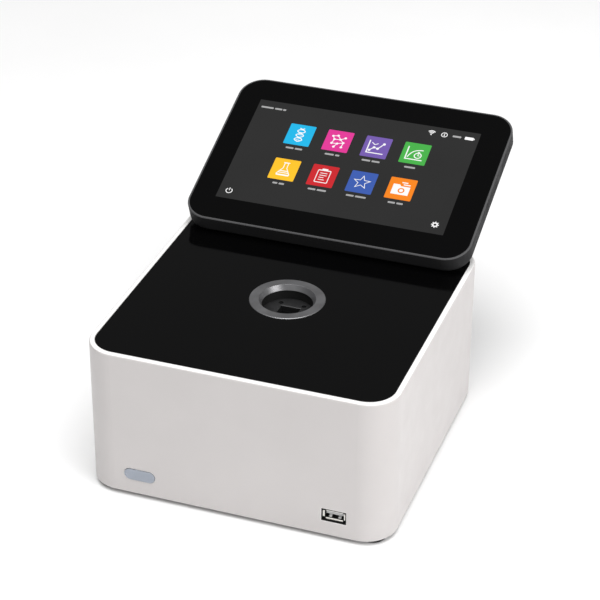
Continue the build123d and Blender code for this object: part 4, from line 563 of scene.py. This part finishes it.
def screen_piece(name, outlines, layer, material):
    """A part of the screen picture: millimetres from the middle of the lit area, on one of its layers."""
    base = layer * LAYER
    return outline_piece(name, outlines, base, base + SHEET, on_screen, material, "display")


grey_screen = screen_finish("screen_background", linear(47, 47, 47))
white_glow = screen_finish("screen_white", linear(246, 246, 246))
grey_glow = screen_finish("screen_grey", linear(168, 168, 168))
screen_piece("screen_area", [rounded(0, 0, lit_width / MM, lit_height / MM, 0.4)], 0, grey_screen)

TILE_WIDTH, TILE_HEIGHT, TILE_PITCH = 18.3, 19.2, 27.4
FIRST_COLUMN = -41.5
COLUMNS = [FIRST_COLUMN + TILE_PITCH * k for k in range(4)]
ROWS = (19.7, -13.5)


def lines(points, width):
    """An open line as a list of one-outline parts."""
    return [[outline] for outline in stroke(points, width)]


def helix():
    """Two crossing strands with rungs between them."""
    strands = []
    for phase in (0, math.pi):
        points = [(3.0 * math.sin(t * 0.42 + phase), -7 + t * 14 / 24) for t in range(25)]
        strands += stroke(points, 0.75)
    steps = ((-5.4, 3.2), (-3.4, 4.6), (0.2, 3.0), (2.6, 4.8), (5.4, 3.2))
    rungs = [rounded(0, y, width, 0.5, 0.2) for y, width in steps]
    return [[outline] for outline in strands + rungs]


def molecule():
    """Atoms joined by bonds."""
    atoms = [(-5, 4.6), (-1.2, 5.6), (-3.2, 1.4), (1.6, 1.8), (5.0, 4.0), (4.6, -1.2), (0.2, -2.6),
             (-4.2, -2.8), (-1.6, -6.2), (4.2, -5.8)]
    bonds = [(0, 1), (0, 2), (1, 3), (2, 3), (3, 4), (3, 5), (5, 6), (2, 7), (6, 7), (6, 8), (5, 9)]
    parts = [[ring(x, y, 1.0, 16)] for x, y in atoms]
    for first, second in bonds:
        parts += lines([atoms[first], atoms[second]], 0.6)
    return parts


def axes():
    """The two axes of a graph."""
    return [[[(-6.8, 6.6), (-6.8, -6.6), (6.8, -6.6), (6.8, -5.7), (-5.9, -5.7), (-5.9, 6.6)]]]


def chart():
    """A graph with marked points."""
    knots = [(-4.6, -3.6), (-1.6, -0.4), (1.4, -1.2), (5.2, 4.2)]
    parts = axes() + lines(knots, 0.8) + [[ring(x, y, 1.1, 14)] for x, y in knots]
    return parts + lines([(-4.4, 4.6), (-1.8, 2.4), (0.6, 4.0)], 0.7)


def kinetics():
    """A levelling curve with a stopwatch."""
    curve = [(-5.0 + 0.75 * k, -4.4 + 8.6 * (1 - math.exp(-0.28 * k))) for k in range(15)]
    x, y = 2.6, -1.8
    clock = [
        [ring(x, y, 3.0), ring(x, y, 2.2)],
        [rounded(x, -0.9, 0.6, 2.0, 0.2)],
        [rounded(3.3, y, 1.6, 0.6, 0.2)],
        [rounded(x, 1.6, 1.6, 0.9, 0.2)],
    ]
    return axes() + lines(curve, 0.8) + clock


def flask():
    """A conical flask with a level in it."""
    outer = [(-1.7, 6.6), (-1.7, 1.6), (-5.4, -4.8), (-4.8, -6.4), (4.8, -6.4), (5.4, -4.8), (1.7, 1.6),
             (1.7, 6.6)]
    inner = [(-1.1, 6.2), (-1.1, 1.4), (-2.6, -1.2), (2.6, -1.2), (1.1, 1.4), (1.1, 6.2)]
    level = [
        [(-3.0, -2.0), (-3.6, -3.0), (3.6, -3.0), (3.0, -2.0)],
        [(-4.0, -3.7), (-4.6, -5.0), (4.6, -5.0), (4.0, -3.7)],
    ]
    return [[outer, inner, *level], [rounded(0, 6.9, 5.0, 0.7, 0.3)]]


def clipboard():
    """A clipboard with lines of writing."""
    board = [rounded(0, -0.6, 10.4, 13.0, 1.0), rounded(0, -0.7, 9.2, 11.4, 0.5)]
    clip = [rounded(0, 6.2, 4.6, 2.0, 0.6)]
    rows = ((0, 2.6, 5.6), (0, 0.4, 5.6), (-0.9, -1.8, 3.8), (-0.4, -4.0, 4.8))
    return [board, clip] + [[rounded(x, y, width, 0.6, 0.25)] for x, y, width in rows]


def star():
    """A five-pointed star."""
    outer = []
    for k in range(10):
        angle, share = math.pi * k / 5, (1, 0.42)[k % 2]
        outer.append((7.2 * math.sin(angle) * share, 7.2 * math.cos(angle) * share))
    inner = [(x * 0.8, y * 0.8) for x, y in outer]
    return [[outer, inner]]


def folder():
    """A folder with a lens on it."""
    body = [(-6.6, 4.2), (-6.6, -5.8), (6.6, -5.8), (6.6, 2.6), (-0.6, 2.6), (-1.8, 4.2)]
    window = ring(0.6, -1.6, 2.6, 24)
    lens = ring(0.6, -1.6, 1.5, 20)
    return [[body, window], [lens], [rounded(3.6, 4.4, 5.4, 1.0, 0.3)], [rounded(1.6, 6.4, 4.6, 1.0, 0.3)]]


TILES = (
    ("helix", linear(38, 178, 226), helix, 0, 0, (5.6, 5.2)),
    ("molecule", linear(220, 60, 148), molecule, 1, 0, (6.4, 3.0)),
    ("chart", linear(116, 92, 170), chart, 2, 0, (6.0, 5.6)),
    ("kinetics", linear(74, 174, 76), kinetics, 3, 0, (7.6,)),
    ("flask", linear(250, 192, 46), flask, 0, 1, (3.4, 3.8)),
    ("clipboard", linear(200, 44, 50), clipboard, 1, 1, (5.4, 6.4)),
    ("star", linear(64, 94, 174), star, 2, 1, (5.4, 7.4)),
    ("folder", linear(244, 133, 36), folder, 3, 1, (5.0, 4.4)),
)
LABEL_DROP, LABEL_RISE, LABEL_HEIGHT, LABEL_GAP = 4.6, 1.2, 1.5, 1.0
ICON_SCALE = 0.9
for name, colour, icon, column, row, words in TILES:
    x, y = COLUMNS[column], ROWS[row]
    lit = screen_finish("tile_" + name, colour)
    screen_piece("tile_" + name, [rounded(x, y, TILE_WIDTH, TILE_HEIGHT, 0.7)], 1, lit)
    for k, outlines in enumerate(icon()):
        moved = [[(x + px * ICON_SCALE, y + py * ICON_SCALE) for px, py in points] for points in outlines]
        screen_piece(f"icon_{name}_{k}", moved, 2, white_glow)
    start = x - (sum(words) + LABEL_GAP * (len(words) - 1)) / 2
    label_y = y - TILE_HEIGHT / 2 - LABEL_DROP + LABEL_RISE
    for k, length in enumerate(words):
        word = rounded(start + length / 2, label_y, length, LABEL_HEIGHT, 0.5)
        screen_piece(f"label_{name}_{k}", [word], 1, grey_glow)
        start += length + LABEL_GAP


def arc(x, y, radius, first, last, step):
    """Points on an arc about a middle, in whole degrees from the x axis."""
    turns = [math.radians(degrees) for degrees in range(first, last, step)]
    return [(x + radius * math.cos(turn), y + radius * math.sin(turn)) for turn in turns]


STATUS_Y, SIGNAL_X, SIGNAL_Y, HELP_X, CHARGE_Y = 40.4, 46.2, 39.6, 55.2, 40.9
for k, (x, length) in enumerate(((-72.2, 9.0), (-64.0, 5.2), (-59.6, 2.2))):
    screen_piece(f"status_text_{k}", [rounded(x, STATUS_Y, length, 1.5, 0.5)], 1, grey_glow)
for k, radius in enumerate((1.1, 2.2, 3.3)):
    screen_piece(f"signal_{k}", stroke(arc(SIGNAL_X, SIGNAL_Y, radius, 45, 136, 9), 0.7), 1, white_glow)
screen_piece("signal_dot", [ring(SIGNAL_X, 39.3, 0.5, 12)], 1, white_glow)
screen_piece("help_ring", [ring(HELP_X, CHARGE_Y, 2.2), ring(HELP_X, CHARGE_Y, 1.7)], 1, white_glow)
screen_piece("help_dot", [ring(HELP_X, 42.0, 0.35, 10)], 1, white_glow)
screen_piece("help_bar", [rounded(HELP_X, 40.5, 0.6, 1.8, 0.2)], 1, white_glow)
screen_piece("charge_text", [rounded(64.0, CHARGE_Y, 6.0, 1.6, 0.5)], 1, grey_glow)
screen_piece("charge_shell", [rounded(72.6, CHARGE_Y, 6.0, 2.6, 0.4)], 1, white_glow)
screen_piece("charge_tip", [rounded(76.0, CHARGE_Y, 0.5, 1.2, 0.15)], 1, white_glow)
POWER_X, POWER_Y, POWER_RADIUS = -72.0, -40.0, 2.1
power_turns = [math.radians(degrees) for degrees in range(35, 326, 10)]
power_arc = [(POWER_X + POWER_RADIUS * math.sin(t),
              POWER_Y + POWER_RADIUS * math.cos(t)) for t in power_turns]
screen_piece("power_arc", stroke(power_arc, 0.6), 1, white_glow)
screen_piece("power_bar", [rounded(POWER_X, -38.6, 0.6, 2.4, 0.25)], 1, white_glow)
COG_X, COG_Y = 71.7, -39.2
cog = []
for k in range(8):
    for turn, radius in ((-0.17, 2.0), (-0.12, 2.7), (0.12, 2.7), (0.17, 2.0)):
        angle = math.pi * k / 4 + turn
        cog.append((COG_X + radius * math.cos(angle), COG_Y + radius * math.sin(angle)))
screen_piece("settings_cog", [cog, ring(COG_X, COG_Y, 0.95, 20)[::-1]], 1, white_glow)

# ---------------------------------------------------------------- sprung contacts of the front socket


def facing(direction, up, place):
    """Millimetre frame with its local z along direction and its local y along up."""
    z = Vector(direction).normalized()
    x = Vector(up).cross(z).normalized()
    y = z.cross(x)
    axes = Matrix((x, y, z)).transposed().to_4x4()
    return Matrix.Translation(place) @ axes @ Matrix.Diagonal((MM, MM, MM, 1))


SPRING_X, SPRING_WIDTH, SHEET_METAL = 3.0, 2.0, 0.25
TAB_HEIGHT, SHELL_WALL, SPRING_GAP = 0.9, 0.35, 0.15
bump_line = [(0.9, 0.1), (2.0, 0.2), (2.8, 0.9), (3.5, 1.25), (4.2, 0.9), (5.0, 0.25), (8.0, 0.1)]
floor_of_socket = usb_low.z + (TAB_HEIGHT + SHELL_WALL + SPRING_GAP) * MM
# The springs below use the near white painted glint colour.
for side in (-1, 1):
    corner = Vector((usb_middle.x + side * SPRING_X * MM, usb_low.y, floor_of_socket))
    where = facing((-1, 0, 0), (0, 0, 1), corner) @ Matrix.Diagonal((-1, 1, -1, 1))
    outline_piece(f"usb_contact_spring_{side + 1}", stroke(bump_line, SHEET_METAL), -SPRING_WIDTH / 2,
                  SPRING_WIDTH / 2, where, glint_painted_contacts, "instrument")

# ---------------------------------------------------------------- tongues and contacts of the rear sockets

TONGUE_HALF, TONGUE_SPARE = 0.86 * MM, 0.06 * MM
USB_A_WIDTH = 13.1 * MM
SOCKET_WALL, SOCKET_DEPTH, WALL_FRONT = 0.75 * MM, 10.0 * MM, 0.3 * MM
DEEP = Vector((0, 9.0 * MM, 0))
CONTACT_LOW, CONTACT_HIGH, CONTACT_LENGTH, CONTACT_BACK = 0.81, 0.9, 6.0, Vector((0, 5.0 * MM, 0))
for node, centres, colour in (
    ("usb_a_ports", 2, linear(34, 70, 160)),
    ("usb_b_port", 1, linear(225, 225, 222)),
    ("hdmi_port", 1, linear(22, 22, 23)),
    ("network_port", 1, linear(24, 24, 25)),
):
    low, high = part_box(node)
    width = high.x - low.x if centres == 1 else USB_A_WIDTH
    boxes = []
    for centre in [low.x + width / 2, high.x - width / 2][:centres]:
        middle = Vector((centre, (low.y + high.y) / 2, (low.z + high.z) / 2))
        around = Vector((width / 4 + TONGUE_SPARE, high.y - low.y, TONGUE_HALF))
        boxes.append((middle - around, middle + around))
        back_wall = Vector((width / 2 - SOCKET_WALL, 0, (high.z - low.z) / 2 - SOCKET_WALL))
        end = Vector((centre, high.y - SOCKET_DEPTH, middle.z))
        boxes.append((end - back_wall - DEEP, end + back_wall + Vector((0, WALL_FRONT, 0))))
    repaint(node, node + "_finish", boxes, colour, 0.4, 0.0)
for node, count, pitch in (("network_port", 8, 0.9), ("hdmi_port", 9, 0.6), ("usb_b_port", 2, 2.4)):
    low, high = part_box(node)
    for k in range(count):
        across = (low.x + high.x) / 2 + (k - (count - 1) / 2) * pitch * MM
        place = Vector((across, high.y, (low.z + high.z) / 2)) - CONTACT_BACK
        outline_piece(f"{node}_contact_{k}", [rounded(0, 0, pitch * 0.5, CONTACT_LENGTH, 0.1)], CONTACT_LOW,
                      CONTACT_HIGH, facing((0, 0, -1), (0, 1, 0), place), gold, "instrument")

# ---------------------------------------------------------------- marks on the power switch

rocker_low, rocker_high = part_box("power_rocker")
rocker_middle = (rocker_low + rocker_high) / 2
rocker_mesh = nodes["power_rocker"].data
rocker_tree = BVHTree.FromPolygons(
    [vertex.co for vertex in rocker_mesh.vertices], [face.vertices for face in rocker_mesh.polygons])
MARK_Z, MARK_LOW, MARK_HIGH, RAY_START = 4.6 * MM, 0.01, 0.10, 0.01
for name, up, outlines in (
    ("rocker_mark_on", 1, [rounded(0, 0, 0.6, 3.4, 0.25)]),
    ("rocker_mark_off", -1, [ring(0, 0, 1.7), ring(0, 0, 1.15)]),
):
    start = Vector((rocker_middle.x, rocker_high.y + RAY_START, rocker_middle.z + up * MARK_Z))
    place, normal, _, _ = rocker_tree.ray_cast(start, Vector((0, -1, 0)))
    outline_piece(name, outlines, MARK_LOW, MARK_HIGH, facing(normal, (0, 0, 1), place), white_mark, "rocker")

# ---------------------------------------------------------------- floor finish

paper = Shader("pale_floor", Specular_IOR_Level=0.1, Emission_Color=(1, 1, 1, 1), Emission_Strength=0.06)
mottle = paper.mix(paper.spread(paper.noise(3, 3.0), 0, 1), (0.86, 0.86, 0.86), (0.90, 0.90, 0.90))
paper.wire(mottle, paper.bsdf.inputs["Base Color"])
paper.wire(paper.spread(paper.noise(60), 0.7, 0.85), paper.bsdf.inputs["Roughness"])
floor.data.materials.append(paper.material)

# ---------------------------------------------------------------- size

bpy.context.view_layer.update()
low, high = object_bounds()
